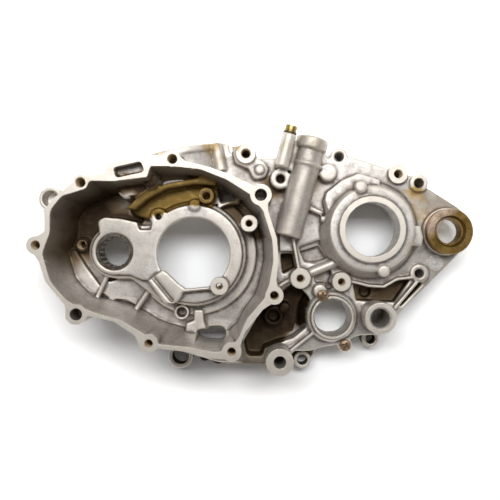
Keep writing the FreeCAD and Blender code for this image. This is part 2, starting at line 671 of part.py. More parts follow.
def drilled_through(name, surface, values):
    """Whether a boss's hole is as deep as the metal under it, down to the joint face."""
    return values[5] > size("%s + %s_rise" % (surface, name))


def plate_features():
    base = "plate_top - root"
    parts = [
        cone("output_boss", "output_x", "output_y", base, "plate_top + output_boss_rise",
             "output_boss_foot_rad", "output_boss_rad"),
        cylinder("output_lip", "output_x", "output_y", base,
                 "plate_top + output_boss_rise + output_lip_rise", "output_lip_rad"),
        prism("output_corner", OUTPUT_CORNER, base, "plate_top + output_corner_rise"),
        prism("output_lug", OUTPUT_LUG, base, "plate_top + output_boss_rise - 1"),
        cone("drum_skirt", "drum_x", "drum_y", "pocket_floor - root", "plate_top + 5", "drum_skirt_rad",
             "drum_ring_rad + 2.5"),
        cylinder("drum_ring", "drum_x", "drum_y", base, "plate_top + drum_ring_rise", "drum_ring_rad"),
        cylinder("shift_boss", "shift_x", "shift_y", base, "plate_top + shift_boss_rise", "shift_boss_rad"),
        prism("web_plate", WEB_PLATE, base, "plate_top + web_plate_rise"),
        prism("tube_foot", TUBE_FOOT, base, "plate_top + tube_foot_rise"),
        bar("tube_rib", TUBE_RIB[:2], TUBE_RIB[2], "plate_top - 14", "plate_top + %s" % TUBE_RIB[3]),
        bar("diagonal_rib", DIAGONAL_RIB[:2], DIAGONAL_RIB[2], base, "plate_top + %s" % DIAGONAL_RIB[3]),
    ]
    for name, values in PLATE_BOSSES.items():
        foot = "0" if drilled_through(name, "plate_top", values) else "pocket_floor - root"
        parts.append(boss(name, foot, "plate_top + %s_rise" % name))
    for name, (start, end, width, rise) in PLATE_RIBS.items():
        parts.append(bar(name, (start, end), width, "plate_top - 10", "plate_top + %s" % rise))
    return parts


def lying_cylinder(name, start, end, radius, height):
    """A round rib that lies in the plate's surface."""
    (x0, y0), (x1, y1) = start, end
    run = V(x1 - x0, y1 - y0, 0)
    solid = doc.addObject("Part::Cylinder", name)
    solid.Radius = radius
    solid.Height = run.Length
    solid.Placement = FreeCAD.Placement(V(x0, y0, size(height)), FreeCAD.Rotation(UP, run))
    return bind(solid, Placement__Base__z=height)


def tubes():
    """Clutch release tube with its collar and rings, and the bleed column beside it."""
    lean = "0 - release_lean"
    at = ("release_top_x", "release_top_y", "release_z")
    bleed = ("bleed_top_x", "bleed_top_y", "bleed_z")
    ring = "release_rad + release_ring_rise"
    parts = [
        along("release_tube", lean, *at, "0 - release_length", "0", "release_rad"),
        along("release_collar", lean, *at, "0 - release_collar_length", "0", "release_collar_rad"),
        along("release_ring", lean, *at, "0 - release_ring_place", "release_ring_width - release_ring_place",
              ring),
        along("bleed_column", lean, *bleed, "0 - bleed_length", "0", "bleed_rad"),
        lying_cylinder("round_rib", *ROUND_RIB, "plate_top"),
        cylinder("tube_bulge", *TUBE_BULGE[:2], "plate_top - root", "plate_top + tube_bulge_rise",
                 TUBE_BULGE[2]),
    ]
    saddle = doc.addObject("Part::Box", "tube_saddle")
    angle = size("release_lean")
    turn = FreeCAD.Rotation(UP, -angle)
    bind(saddle, Length="2 * release_rad - 3", Width="release_length - 2",
         Height="release_z - plate_top + root")
    corner = V(size("release_top_x"), size("release_top_y"), 0)
    corner += turn.multVec(V(-size("release_rad") + 1.5, -size("release_length"), 0))
    saddle.Placement = FreeCAD.Placement(corner, turn)
    bind(saddle, Placement__Base__z="plate_top - root")
    prop = doc.addObject("Part::Box", "bleed_prop")
    bind(prop, Length="1.4 * bleed_rad", Width="bleed_length - 1", Height="bleed_z - plate_top + root")
    corner = V(size("bleed_top_x"), size("bleed_top_y"), 0)
    corner += turn.multVec(V(-0.7 * size("bleed_rad"), -size("bleed_length"), 0))
    prop.Placement = FreeCAD.Placement(corner, turn)
    bind(prop, Placement__Base__z="plate_top - root")
    web = doc.addObject("Part::Box", "bleed_web")
    bind(web, Length="bleed_web_width", Width="bleed_length - 3", Height="bleed_web_top - plate_top + root")
    corner = V(size("bleed_top_x"), size("bleed_top_y"), 0)
    corner += turn.multVec(V(0, -size("bleed_length"), 0))
    web.Placement = FreeCAD.Placement(corner, turn)
    bind(web, Placement__Base__z="plate_top - root")
    return parts + [saddle, prop, web]


# Casting: bores, holes and the chambers behind

def bores():
    seat = "crank_boss_face - needle_cup_inset - needle_cup_width"
    top = "crank_boss_face + 40"
    output_face = "plate_top + output_boss_rise + output_lip_rise"
    release = ("release_top_x", "release_top_y", "release_z")
    bleed = ("bleed_top_x", "bleed_top_y", "bleed_z")
    return [
        cylinder("crank_chamber", "0", "0", "-1", "cavity_floor - web", "crank_chamber_rad"),
        cylinder("main_bearing_seat", "0", "0", "-1", "crank_boss_face - main_bearing_shoulder",
                 "main_bearing_rad"),
        cylinder("crank_hole", "0", "0", "-1", "crank_boss_face", "crank_hole_rad"),
        cylinder("balancer_chamber", "balancer_x", "balancer_y", "-1", "balancer_chamber_depth",
                 "balancer_chamber_rad"),
        cylinder("needle_seat", "balancer_x", "balancer_y", seat, top, "needle_cup_rad"),
        cylinder("needle_back", "balancer_x", "balancer_y", "0", top, "needle_cup_rad - needle_shoulder"),
        cylinder("output_bearing_seat", "output_x", "output_y", "-1",
                 "gear_chamber_depth + output_bearing_depth", "output_bearing_rad"),
        cylinder("output_hole", "output_x", "output_y", "-1", "%s + 1" % output_face, "output_hole_rad"),
        cylinder("input_bearing_seat", "input_x", "input_y", "-1",
                 "gear_chamber_depth + input_bearing_depth", "input_bearing_rad"),
        cylinder("push_rod_hole", "input_x", "input_y", "0", "release_z", "push_rod_rad"),
        along("release_bore", "0 - release_lean", *release, "0 - release_bore_depth", "1",
              "release_bore_rad"),
        along("bleed_hole", "0 - release_lean", *bleed, "0 - bleed_hole_depth", "1", "bleed_hole_rad"),
        cylinder("drum_hole", "drum_x", "drum_y", "-1", "plate_top + drum_ring_rise + 1", "drum_hole_rad"),
        cylinder("drum_recess_bore", "drum_x", "drum_y", "plate_top + drum_ring_rise - drum_recess",
                 "plate_top + drum_ring_rise + 1", "drum_recess_rad"),
        cylinder("shift_hole", "shift_x", "shift_y", "-1", "plate_top + shift_boss_rise + 1",
                 "shift_hole_rad"),
        cone("shift_mouth", "shift_x", "shift_y", "plate_top + shift_boss_rise - shift_mouth_depth",
             "plate_top + shift_boss_rise", "shift_hole_rad", "shift_mouth_rad"),
        cylinder("pivot_hole", "pivot_x", "pivot_y", "-1", "arm_top + pivot_boss_rise + 1", "bush_rad"),
        prism("breather_hole", BREATHER_HOLE, "14", "cavity_floor + 20"),
        prism("drain_slot", DRAIN_SLOT, "-1", "cover_face"),
        prism("arm_undercut", ARM_UNDERCUT, "-1", "arm_foot"),
        cylinder("dark_hole", *DARK_HOLE[:3], "plate_top + 1", DARK_HOLE[3]),
        cylinder("small_recess", *SMALL_RECESS[:3], "plate_top + 1", SMALL_RECESS[3]),
        bar("lug_groove", LUG_GROOVE[:2], LUG_GROOVE[2],
            "crank_boss_face + pointer_lug_rise - lug_groove_depth",
            "crank_boss_face + pointer_lug_rise + 1"),
    ]


def screw_place(name):
    """Each bearing screw stands on its own boss: x, y and the height of its seat."""
    if name == "upper":
        return "plate_screw_x + 2.0", "plate_screw_y - 3.8", "plate_top + drum_ring_rise"
    return "ear_screw_x", "ear_screw_y", "ear_screw_rise"


def bolt_holes():
    holes = []
    for name in COVER_BOSSES:
        holes.append(drilled(name, "cover_face - %s_depth" % name, "cover_face"))
    for group, surface in ((FLOOR_BOSSES, "cavity_floor"), (PLATE_BOSSES, "plate_top")):
        for name, values in group.items():
            if values[4]:
                top = "%s + %s_rise" % (surface, name)
                foot = "-1" if drilled_through(name, surface, values) else "%s - %s_depth" % (top, name)
                holes.append(drilled(name, foot, top))
    for name, values in EARS.items():
        if values[4]:
            holes.append(drilled(name, "-1", name + "_rise"))
    for name in ("upper", "lower"):
        x, y, seat = screw_place(name)
        holes.append(cylinder("screw_hole_" + name, x, y, seat + " - screw_shank_length - 1", seat + " + 1",
                              "screw_shank_rad + screw_fit"))
    return holes


def chambers():
    spigot = along("spigot_bore", "cylinder_lean", "0", "0", "0", "spigot_foot", "deck_height + 1",
                   "spigot_rad")
    window = along("rod_window", "cylinder_lean", "0", "0", "0", "0", "spigot_foot + 2",
                   "rod_window_rad")
    return [
        spigot,
        window,
        prism("gear_chamber", GEAR_CHAMBER, "-1", "gear_chamber_depth"),
        prism("shift_chamber", SHIFT_CHAMBER, "-1", "gear_chamber_depth"),
        prism("sump_chamber", SUMP_CHAMBER, "-1", "small_chamber_depth"),
        prism("front_chamber", FRONT_CHAMBER, "-1", "small_chamber_depth + 5"),
        prism("low_front_chamber", LOW_FRONT_CHAMBER, "-1", "small_chamber_depth + 5"),
    ]


def casting():
    shell = joined("outer_shell", case_walls() + spigot_housing())
    hollow = cut("hollowed", shell, joined("room", [cavity()] + side_pockets()))
    inside = doc.addObject("Part::MultiCommon", "floor_inside")
    inside.Shapes = [joined("floor_group", floor_features()),
                     prism("floor_limit", COVER_OUTLINE, "cavity_floor - root - 1", "cover_face")]
    raised = joined("raised", [hollow, inside] + cover_bosses() + plate_features() + tubes())
    bored = cut("bored", raised, joined("cutters", bores() + bolt_holes() + chambers()), refine=True)
    bored.Label = "crankcase_casting"
    return bored


# Turned pieces: each is a body turned from a half section


def body(label, x, y, z, turn=None):
    """A body of its own at its place; turn lays its axis along the release tube."""
    piece = doc.addObject("PartDesign::Body", label)
    piece.Label = label
    if turn:
        run = V(math.sin(math.radians(turn)), math.cos(math.radians(turn)), 0)
        piece.Placement = FreeCAD.Placement(V(0, 0, 0), FreeCAD.Rotation(UP, run))
    return place(piece, x, y, z)


def plane(piece, role):
    return [feature for feature in piece.Origin.OriginFeatures if feature.Role == role][0]


def section(piece, name, corners):
    """A fully dimensioned half section on the body's XZ plane; corners are radius and height."""
    sketch = piece.newObject("Sketcher::SketchObject", name)
    sketch.AttachmentSupport = [(plane(piece, "XZ_Plane"), "")]
    sketch.MapMode = "FlatFace"
    points = [V(size(across), size(up), 0) for across, up in corners]
    count = len(points)
    for i in range(count):
        sketch.addGeometry(Part.LineSegment(points[i], points[(i + 1) % count]), False)
    for i in range(count):
        sketch.addConstraint(Sketcher.Constraint("Coincident", i, 2, (i + 1) % count, 1))
    for i, (across, up) in enumerate(corners):
        for kind, text in (("DistanceX", across), ("DistanceY", up)):
            number = sketch.addConstraint(Sketcher.Constraint(kind, -1, 1, i, 1, size(text)))
            sketch.setExpression("Constraints[%d]" % number, linked(text))
    return sketch


def turned(piece, name, corners, feature="PartDesign::Revolution"):
    sketch = section(piece, name + "_section", corners)
    result = piece.newObject(feature, name)
    result.Profile = sketch
    result.ReferenceAxis = (sketch, ["V_Axis"])
    result.Angle = 360
    sketch.Visibility = False
    return result


def many_sided(radius, sides, low, high):
    """A prism whose flat sides stand for a small cylinder."""
    corners = []
    for i in range(sides + 1):
        angle = 2 * math.pi * (i % sides) / sides
        corners.append(V(radius * math.cos(angle), radius * math.sin(angle), low))
    return Part.Face(Part.makePolygon(corners)).extrude(V(0, 0, high - low))


def needle_bearing():
    """Drawn cup, cage and needles of the balancer shaft's bearing."""
    at = ("balancer_x", "balancer_y", "crank_boss_face - needle_cup_inset - needle_cup_width")
    inner = "needle_cup_rad - needle_cup_wall"
    cup = body("needle_bearing_cup", *at)
    turned(cup, "cup", (
        ("needle_cup_mouth", "0"), ("needle_cup_rad", "0"), ("needle_cup_rad", "needle_cup_width"),
        ("needle_cup_mouth", "needle_cup_width"), ("needle_cup_mouth", "needle_cup_width - needle_cup_wall"),
        (inner, "needle_cup_width - needle_cup_wall"), (inner, "needle_cup_wall"),
        ("needle_cup_mouth", "needle_cup_wall"),
    ))
    doc.recompute()
    pitch_radius = size("needle_cup_rad - needle_cup_wall - needle_rad - needle_gap")
    low = size("needle_cup_wall + cage_gap + cage_wall + cage_gap")
    high = size("needle_cup_width") - low
    centre = V(size("balancer_x"), size("balancer_y"), size(at[2]))
    count = int(size("needle_count"))
    needles = []
    pockets = []
    for k in range(count):
        turn = 2 * math.pi * k / count
        spot = V(pitch_radius * math.cos(turn), pitch_radius * math.sin(turn), low)
        needle = many_sided(size("needle_rad"), 12, low, high)
        needle.translate(V(spot.x, spot.y, 0))
        needles.append(needle)
        room = size("needle_rad + cage_gap")
        pocket = Part.makeBox(4 * room, 2 * room, high - low + 2 * size("cage_gap"),
                              V(pitch_radius - 2 * room, -room, low - size("cage_gap")))
        pocket.rotate(V(0, 0, 0), UP, math.degrees(turn))
        pockets.append(pocket)
    ring_low = size("needle_cup_wall + cage_gap")
    ring_high = size("needle_cup_width") - ring_low
    outer = many_sided(pitch_radius + size("cage_wall") / 2, 2 * count, ring_low, ring_high)
    inner = many_sided(pitch_radius - size("cage_wall") / 2, 2 * count, 0, size("needle_cup_width"))
    ring = outer.cut(inner)
    rollers = doc.addObject("Part::Feature", "needle_rollers")
    rollers.Shape = Part.makeCompound(needles)
    cage = doc.addObject("Part::Feature", "needle_bearing_cage")
    cage.Shape = ring.cut(pockets)
    for piece in (rollers, cage):
        piece.Placement = FreeCAD.Placement(centre, FreeCAD.Rotation())
        place(piece, *at)
    return [cup, cage, rollers]


def pivot_bush():
    """Flanged bush pressed into the swingarm pivot; its mouth is bevelled down to a narrow ledge."""
    top = "arm_top + pivot_boss_rise - bush_foot"
    face = top + " + bush_flange"
    bush = body("pivot_bush", "pivot_x", "pivot_y", "bush_foot")
    turned(bush, "bush", (
        ("bush_hole_rad", "0"), ("bush_rad", "0"), ("bush_rad", top), ("bush_flange_rad", top),
        ("bush_flange_rad", face + " - bush_edge"), ("bush_flange_rad - bush_edge", face),
        ("bush_hole_rad + bush_bevel", face), ("bush_hole_rad + bush_ledge", face + " - bush_bevel"),
        ("bush_hole_rad", face + " - bush_bevel"),
    ))
    return bush


def bleed_plug():
    """Slotted brass plug of the bleed column, and the washer under its head."""
    lean = size("release_lean")
    at = ("bleed_top_x", "bleed_top_y", "bleed_z")
    washer = body("sealing_washer", *at, turn=lean)
    turned(washer, "washer", (
        ("bleed_hole_rad + 0.2", "0"), ("washer_rad", "0"), ("washer_rad", "washer_width"),
        ("bleed_hole_rad + 0.2", "washer_width"),
    ))
    plug = body("bleed_plug", *at, turn=lean)
    head = "washer_width + plug_head_height"
    turned(plug, "plug", (
        ("0", "washer_width - plug_shank_length"),
        ("bleed_hole_rad - screw_fit", "washer_width - plug_shank_length"),
        ("bleed_hole_rad - screw_fit", "washer_width"), ("plug_head_rad", "washer_width"),
        ("plug_head_rad", head), ("0", head),
    ))
    slot = plug.newObject("Sketcher::SketchObject", "plug_slot_outline")
    slot.AttachmentSupport = [(plane(plug, "XY_Plane"), "")]
    slot.MapMode = "FlatFace"
    half = size("plug_slot") / 2
    reach = size("plug_head_rad") + 1
    corners = [V(-half, -reach, 0), V(half, -reach, 0), V(half, reach, 0), V(-half, reach, 0)]
    for i in range(4):
        slot.addGeometry(Part.LineSegment(corners[i], corners[(i + 1) % 4]), False)
    bind(slot, AttachmentOffset__Base__z=head)
    doc.recompute()
    pocket = plug.newObject("PartDesign::Pocket", "plug_slot_cut")
    pocket.Profile = slot
    bind(pocket, Length="plug_slot_depth")
    slot.Visibility = False
    return [washer, plug]


def bearing_screw(label, where):
    """Pan head screw with a cross recess, which holds the shift drum's bearing."""
    screw = body(label, *screw_place(where))
    turned(screw, label + "_turned", (
        ("0", "0 - screw_shank_length"), ("screw_shank_rad", "0 - screw_shank_length"),
        ("screw_shank_rad", "0"),
        ("screw_head_rad", "0"), ("screw_head_rad", "screw_head_height"), ("0", "screw_head_height"),
    ))
    cross = screw.newObject("Sketcher::SketchObject", label + "_cross")
    cross.AttachmentSupport = [(plane(screw, "XY_Plane"), "")]
    cross.MapMode = "FlatFace"
    half = size("screw_cross") / 2
    reach = size("screw_cross_span") / 2
    ring = []
    for k in range(4):
        turn = FreeCAD.Rotation(UP, 90 * k)
        for spot in (V(half, -half, 0), V(reach, -half, 0), V(reach, half, 0)):
            ring.append(turn.multVec(spot))
    for i in range(len(ring)):
        cross.addGeometry(Part.LineSegment(ring[i], ring[(i + 1) % len(ring)]), False)
    bind(cross, AttachmentOffset__Base__z="screw_head_height")
    doc.recompute()
    recess = screw.newObject("PartDesign::Pocket", label + "_recess")
    recess.Profile = cross
    bind(recess, Length="screw_cross_depth")
    cross.Visibility = False
    return screw


pieces = [casting(), pivot_bush(), bearing_screw("bearing_screw_upper", "upper"),
          bearing_screw("bearing_screw_lower", "lower")]
pieces += needle_bearing() + bleed_plug()
doc.recompute()

# Nothing is written unless every object is sound

for thing in doc.Objects:
    if "Invalid" in thing.State or "Error" in thing.State:
        raise SystemExit("%s failed: %s" % (thing.Name, thing.State))
os.makedirs("parts", exist_ok=True)
for piece in pieces:
    shape = piece.Shape
    if shape.isNull() or not shape.isValid():
        raise SystemExit("%s is not a sound solid" % piece.Label)
    print("%-22s solids %3d  volume %9.1f mm3" % (piece.Label, len(shape.Solids), shape.Volume))
for piece in pieces:
    piece.Shape.exportStep("parts/%s.step" % piece.Label)
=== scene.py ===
# %% [markdown]
# # Left crankcase half on a white table
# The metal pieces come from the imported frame, in metres, with the crankshaft's axis at the
# origin and the joint face on z = 0. This lesson softens the sharp CAD casting until it looks
# poured, cuts threads and needles from small Geometry Nodes trees, gives every metal its
# surface, and sets the table, the lamp and the camera of the photograph.

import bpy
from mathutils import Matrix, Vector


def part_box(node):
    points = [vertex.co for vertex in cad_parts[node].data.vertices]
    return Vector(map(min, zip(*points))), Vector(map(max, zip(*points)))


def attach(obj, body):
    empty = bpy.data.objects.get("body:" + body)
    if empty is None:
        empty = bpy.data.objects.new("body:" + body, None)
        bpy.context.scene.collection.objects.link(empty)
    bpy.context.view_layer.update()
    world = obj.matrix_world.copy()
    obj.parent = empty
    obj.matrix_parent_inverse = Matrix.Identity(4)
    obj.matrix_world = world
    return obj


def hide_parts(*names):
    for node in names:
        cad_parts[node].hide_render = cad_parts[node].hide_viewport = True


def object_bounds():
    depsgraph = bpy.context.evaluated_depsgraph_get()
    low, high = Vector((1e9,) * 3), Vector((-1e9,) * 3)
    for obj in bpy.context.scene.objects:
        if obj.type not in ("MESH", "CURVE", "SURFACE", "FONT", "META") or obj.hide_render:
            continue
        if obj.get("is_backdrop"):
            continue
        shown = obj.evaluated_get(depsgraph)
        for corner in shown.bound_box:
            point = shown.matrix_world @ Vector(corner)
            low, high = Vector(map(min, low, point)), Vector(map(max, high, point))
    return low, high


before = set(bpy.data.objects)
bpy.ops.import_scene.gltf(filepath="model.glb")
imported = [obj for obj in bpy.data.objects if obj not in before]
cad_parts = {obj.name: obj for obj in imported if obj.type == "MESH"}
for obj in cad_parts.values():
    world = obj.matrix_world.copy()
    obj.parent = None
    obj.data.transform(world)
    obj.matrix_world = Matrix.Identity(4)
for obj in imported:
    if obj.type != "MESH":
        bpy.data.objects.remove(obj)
LOADED_BOX = [list(corner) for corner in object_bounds()]

import bmesh
import bpy
import math
import numpy as np
from mathutils import Matrix, Vector
from mathutils.bvhtree import BVHTree

MM = 0.001
print("nodes", sorted(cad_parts))

# %% [markdown]
# ## Camera
# The photograph looks straight down. How far the near rim is shifted against the far plate
# gives the camera's height over the joint face, 520 mm, and the point it stands over.

# %% Camera
CAMERA_PLACE = (49.3 * MM, 10.35 * MM, 520 * MM)
FOCAL_PIXELS = 538
PICTURE_PIXELS = 500
PRINCIPAL_ROW = 242
SENSOR_WIDTH = 36

camera_data = bpy.data.cameras.new("camera")
camera_data.sensor_width = SENSOR_WIDTH
camera_data.lens = SENSOR_WIDTH * FOCAL_PIXELS / PICTURE_PIXELS
camera_data.shift_y = (PRINCIPAL_ROW - PICTURE_PIXELS / 2) / PICTURE_PIXELS
camera_data.clip_end = 20
camera = bpy.data.objects.new("camera", camera_data)
camera.location = CAMERA_PLACE
bpy.context.scene.collection.objects.link(camera)
bpy.context.scene.camera = camera
print("lens", round(camera_data.lens, 2), "mm")

# %% [markdown]
# ## The casting's skin
# A sand casting has no sharp corner: metal fills every inner corner with a fillet, and the
# outer edges are blunt. Bevelling a CAD mesh of long thin triangles fails, so the skin is made
# another way. A voxel remesh wraps the solid in even little squares, and averaging each point
# with its neighbours rounds the corners. Faces that a cutter has touched are put back on their
# planes after each pass, so they stay flat and their edges stay crisp.

# %% Merged copy of the CAD casting
VOXEL = 0.72 * MM
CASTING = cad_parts["crankcase_casting"]


def merged_mesh(source):
    """A copy of a CAD node's loose triangles with their corners joined."""
    shell = bmesh.new()
    shell.from_mesh(source.data)
    bmesh.ops.remove_doubles(shell, verts=shell.verts, dist=0.002 * MM)
    shell.normal_update()
    return shell


solid = merged_mesh(CASTING)
print("casting", len(solid.faces), "triangles")

# %% [markdown]
# ## Which faces a cutter has touched
# The tops of the drilled bosses and the rim were milled: each is a level plateau with a hole
# in it, whose sides all fall away. Flood filling the level triangles finds these plateaus, so
# no list of bosses is needed. The round holes in them are kept for the threads.

# %% Milled plateaus
LEVEL = 0.9999


def plateaus(shell):
    """Groups of joined level faces, each with the edges round it and the level face at each."""
    seen = set()
    for first in shell.faces:
        if first in seen or first.normal.z < LEVEL:
            continue
        group, queue, rim = [], [first], {}
        seen.add(first)
        while queue:
            face = queue.pop()
            group.append(face)
            for edge in face.edges:
                others = [other for other in edge.link_faces if other is not face]
                if others and others[0].normal.z >= LEVEL:
                    if others[0] not in seen:
                        seen.add(others[0])
                        queue.append(others[0])
                else:
                    rim[edge] = face
        yield group, rim


def falls_away(edge, face):
    """Whether the neighbour over this edge lies below the level face."""
    height = face.calc_center_median().z
    others = [other for other in edge.link_faces if other is not face]
    return bool(others) and others[0].calc_center_median().z < height


def closed_loops(rim):
    """The edges round a plateau, sorted into closed outlines."""
    left = dict(rim)
    while left:
        edge = next(iter(left))
        loop, queue = [(edge, left.pop(edge))], [edge]
        while queue:
            for corner in queue.pop().verts:
                for other in corner.link_edges:
                    if other in left:
                        loop.append((other, left.pop(other)))
                        queue.append(other)
        yield loop


def round_hole(loop):
    """Centre and radius of an outline, if it is a round hole in the plateau."""
    corners = [corner.co for edge, face in loop for corner in edge.verts]
    low = Vector([min(corner[axis] for corner in corners) for axis in range(3)])
    high = Vector([max(corner[axis] for corner in corners) for axis in range(3)])
    centre = (low + high) / 2
    spans = [(corner - centre).length for corner in corners]
    is_round = max(spans) - min(spans) < 0.1 * MM
    is_hole = all((face.calc_center_median() - centre).length > max(spans) for edge, face in loop)
    return (centre, max(spans)) if is_round and is_hole else None


milled_corners, milled_faces, holes = [], [], []
for group, rim in plateaus(solid):
    loops = list(closed_loops(rim))
    if len(loops) < 2 or not all(falls_away(edge, face) for edge, face in rim.items()):
        continue
    for face in group:
        milled_faces.append([len(milled_corners) + i for i in range(len(face.verts))])
        milled_corners += [corner.co.copy() for corner in face.verts]
    holes += [hole for hole in map(round_hole, loops) if hole]
milled_tree = BVHTree.FromPolygons(milled_corners, milled_faces)
print("milled triangles", len(milled_faces), "round holes", len(holes))

# %% Remeshed skin
skin_mesh = bpy.data.meshes.new("casting_skin")
solid.to_mesh(skin_mesh)
solid.free()
skin = bpy.data.objects.new("casting_skin", skin_mesh)
bpy.context.scene.collection.objects.link(skin)


def applied(obj):
    """The object's mesh with its modifiers applied; the modifiers are then removed."""
    view = bpy.context.evaluated_depsgraph_get()
    mesh = bpy.data.meshes.new_from_object(obj.evaluated_get(view))
    obj.modifiers.clear()
    obj.data = mesh
    return mesh


remesh = skin.modifiers.new("remesh", "REMESH")
remesh.mode = "VOXEL"
remesh.voxel_size = VOXEL
skin_mesh = applied(skin)
print("remeshed", len(skin_mesh.vertices), "points")

# %% [markdown]
# Rounding works like heat: each pass lets a corner flow into its neighbours. Eight passes
# round a corner by about one millimetre, as on a real casting. A Smooth modifier could do it,
# but the passes are written out here, because near a milled face every second pass has to run
# backwards, a little stronger: this irons out the remesh's little steps and keeps the edge.

# %% Points and their neighbours
def point_array(mesh):
    flat = np.empty(len(mesh.vertices) * 3)
    mesh.vertices.foreach_get("co", flat)
    return flat.reshape(-1, 3)


def normal_array(mesh):
    flat = np.empty(len(mesh.vertices) * 3, dtype=np.float32)
    mesh.vertex_normals.foreach_get("vector", flat)
    return flat.reshape(-1, 3)


class Neighbours:
    """Averages each point of a mesh with the points it shares an edge with."""

    def __init__(self, mesh):
        ends = np.empty(len(mesh.edges) * 2, dtype=np.int64)
        mesh.edges.foreach_get("vertices", ends)
        self.first, self.second = ends.reshape(-1, 2).T
        self.count = len(mesh.vertices)
        self.degree = np.maximum(self.total(np.ones(self.count)), 1)

    def total(self, line):
        return (np.bincount(self.first, weights=line[self.second], minlength=self.count)
                + np.bincount(self.second, weights=line[self.first], minlength=self.count))

    def blur(self, points, share):
        for axis in range(points.shape[1]):
            line = points[:, axis]
            points[:, axis] = line + share * (self.total(line) / self.degree - line)


neighbours = Neighbours(skin_mesh)
print("each point has", round(neighbours.degree.mean(), 2), "neighbours")

# %% Rounded corners
CAST_PASSES = 8
FORWARDS, BACKWARDS = 0.5, -0.52
MILLED_REACH = 1.3 * MM
LOWEST_BOSS = 20 * MM
UPRIGHT = 0.8


def milled_heights(points, upright):
    """For each point its milled plane's height, or NaN, and whether a milled face is near."""
    heights = np.full(len(points), np.nan)
    near = points[:, 2] < MILLED_REACH
    for i in np.nonzero(points[:, 2] > LOWEST_BOSS)[0]:
        spot, up, face, distance = milled_tree.find_nearest(Vector(points[i]), MILLED_REACH)
        if spot is not None:
            near[i] = True
            if upright[i] > UPRIGHT and distance < 0.6 * VOXEL:
                heights[i] = spot.z
    heights[(abs(points[:, 2]) < 0.5 * VOXEL) & (upright < -UPRIGHT)] = 0
    return heights, near


def soften(mesh, neighbours):
    """Rounds the cast corners and leaves the milled planes level and their edges crisp."""
    points = point_array(mesh)
    heights, near = milled_heights(points, normal_array(mesh)[:, 2])
    fixed = ~np.isnan(heights)
    for turn in range(CAST_PASSES):
        share = np.where(near & (turn % 2 == 1), BACKWARDS, FORWARDS)
        neighbours.blur(points, share)
        points[fixed, 2] = heights[fixed]
    mesh.vertices.foreach_set("co", points.ravel())
    mesh.update()


soften(skin_mesh, neighbours)
print("softened in", CAST_PASSES, "passes")

# %% [markdown]
# The same passes, run further on a second copy of the points, tell where the surface is hollow
# and where it stands proud: the copy moves outwards in a crevice and inwards at an edge. Painted
# shade in the hollows and a painted highlight on the edges follow that number later. Blender's
# Pointiness needs no code, but it looks only as far as the next points, and here each further
# pass looks one point further.

# %% Hollows and edges
CREVICE_PASSES = 30


def hollowness(mesh, neighbours, passes):
    """How deep each point lies in a hollow, in millimetres; below zero on an edge."""
    points = point_array(mesh)
    moved = points.copy()
    for turn in range(passes):
        neighbours.blur(moved, FORWARDS)
    return ((moved - points) * normal_array(mesh)).sum(axis=1) / MM


def stored(mesh, name, values, domain="POINT"):
    attribute = mesh.attributes.new(name, "FLOAT", domain)
    attribute.data.foreach_set("value", np.asarray(values, dtype=np.float32))


hollow = hollowness(skin_mesh, neighbours, CREVICE_PASSES)
stored(skin_mesh, "hollow", hollow)
print("hollow from", round(hollow.min(), 2), "to", round(hollow.max(), 2), "mm")

# %% [markdown]
# The remesh gave a flat wall as many squares as a sharp corner. Decimate joins points where
# that changes the shape least, so flat metal gets large triangles and corners keep theirs.

# %% Fewer triangles where the metal is flat
MOST_TRIANGLES = 190000
skin_mesh.calc_loop_triangles()
thin = skin.modifiers.new("thin", "DECIMATE")
thin.ratio = min(1.0, MOST_TRIANGLES / len(skin_mesh.loop_triangles))
skin_mesh = applied(skin)
print("skin", len(skin_mesh.polygons), "triangles")

# %% [markdown]
# ## Where the metal is stained, and where shade is painted
# Numbers stored on the skin's points steer its finish. `shelter` says how much of the sky a
# point misses: a fan of short rays is sent out of each point, and the hits are counted. The
# colour is darkened there, as painted shade. `hollow` marks fine crevices and edges.

# %% Sheltered corners
RAYS = 14
RAY_LENGTH = 28 * MM
RAY_LIFT = 0.4 * MM
GOLDEN_TURN = math.pi * (3 - math.sqrt(5))
SHELTER_PASSES = 3


def fan(count):
    """Directions spread evenly over the half sphere round +Z, closer together near +Z."""
    rays = []
    for k in range(count):
        share = (k + 0.5) / count
        across, turn = math.sqrt(share), k * GOLDEN_TURN
        rays.append(Vector((across * math.cos(turn), across * math.sin(turn), math.sqrt(1 - share))))
    return rays


def shelter_of(mesh):
    mesh.calc_loop_triangles()
    corners = np.empty(len(mesh.loop_triangles) * 3, dtype=np.int32)
    mesh.loop_triangles.foreach_get("vertices", corners)
    points = point_array(mesh)
    tree = BVHTree.FromPolygons(points.tolist(), corners.reshape(-1, 3).tolist())
    rays = fan(RAYS)
    shelter = np.zeros(len(points))
    for i, (point, normal) in enumerate(zip(points, normal_array(mesh))):
        up = Vector(normal)
        turn = Vector((0, 0, 1)).rotation_difference(up)
        start = Vector(point) + up * RAY_LIFT
        for ray in rays:
            hit = tree.ray_cast(start, turn @ ray, RAY_LENGTH)
            if hit[0] is not None:
                shelter[i] += 1 - hit[3] / RAY_LENGTH
    return shelter / RAYS


shelter = shelter_of(skin_mesh).reshape(-1, 1)
neighbours = Neighbours(skin_mesh)
for turn in range(SHELTER_PASSES):
    neighbours.blur(shelter, FORWARDS)
shelter = shelter[:, 0]
print("shelter from", round(shelter.min(), 2), "to", round(shelter.max(), 2))

# %% [markdown]
# The stains and the painted shade are drawn on the plan with a few outlines and round spots, as
# a painter would mask them. Painting an image by hand would need a UV map; a mask worked out from
# each point's place needs none. The helpers below work on all points at once. Places are in millimetres.

# %% Mask helpers
def smooth_step(low, high, values):
    t = np.clip((values - low) / (high - low), 0, 1)
    return t * t * (3 - 2 * t)


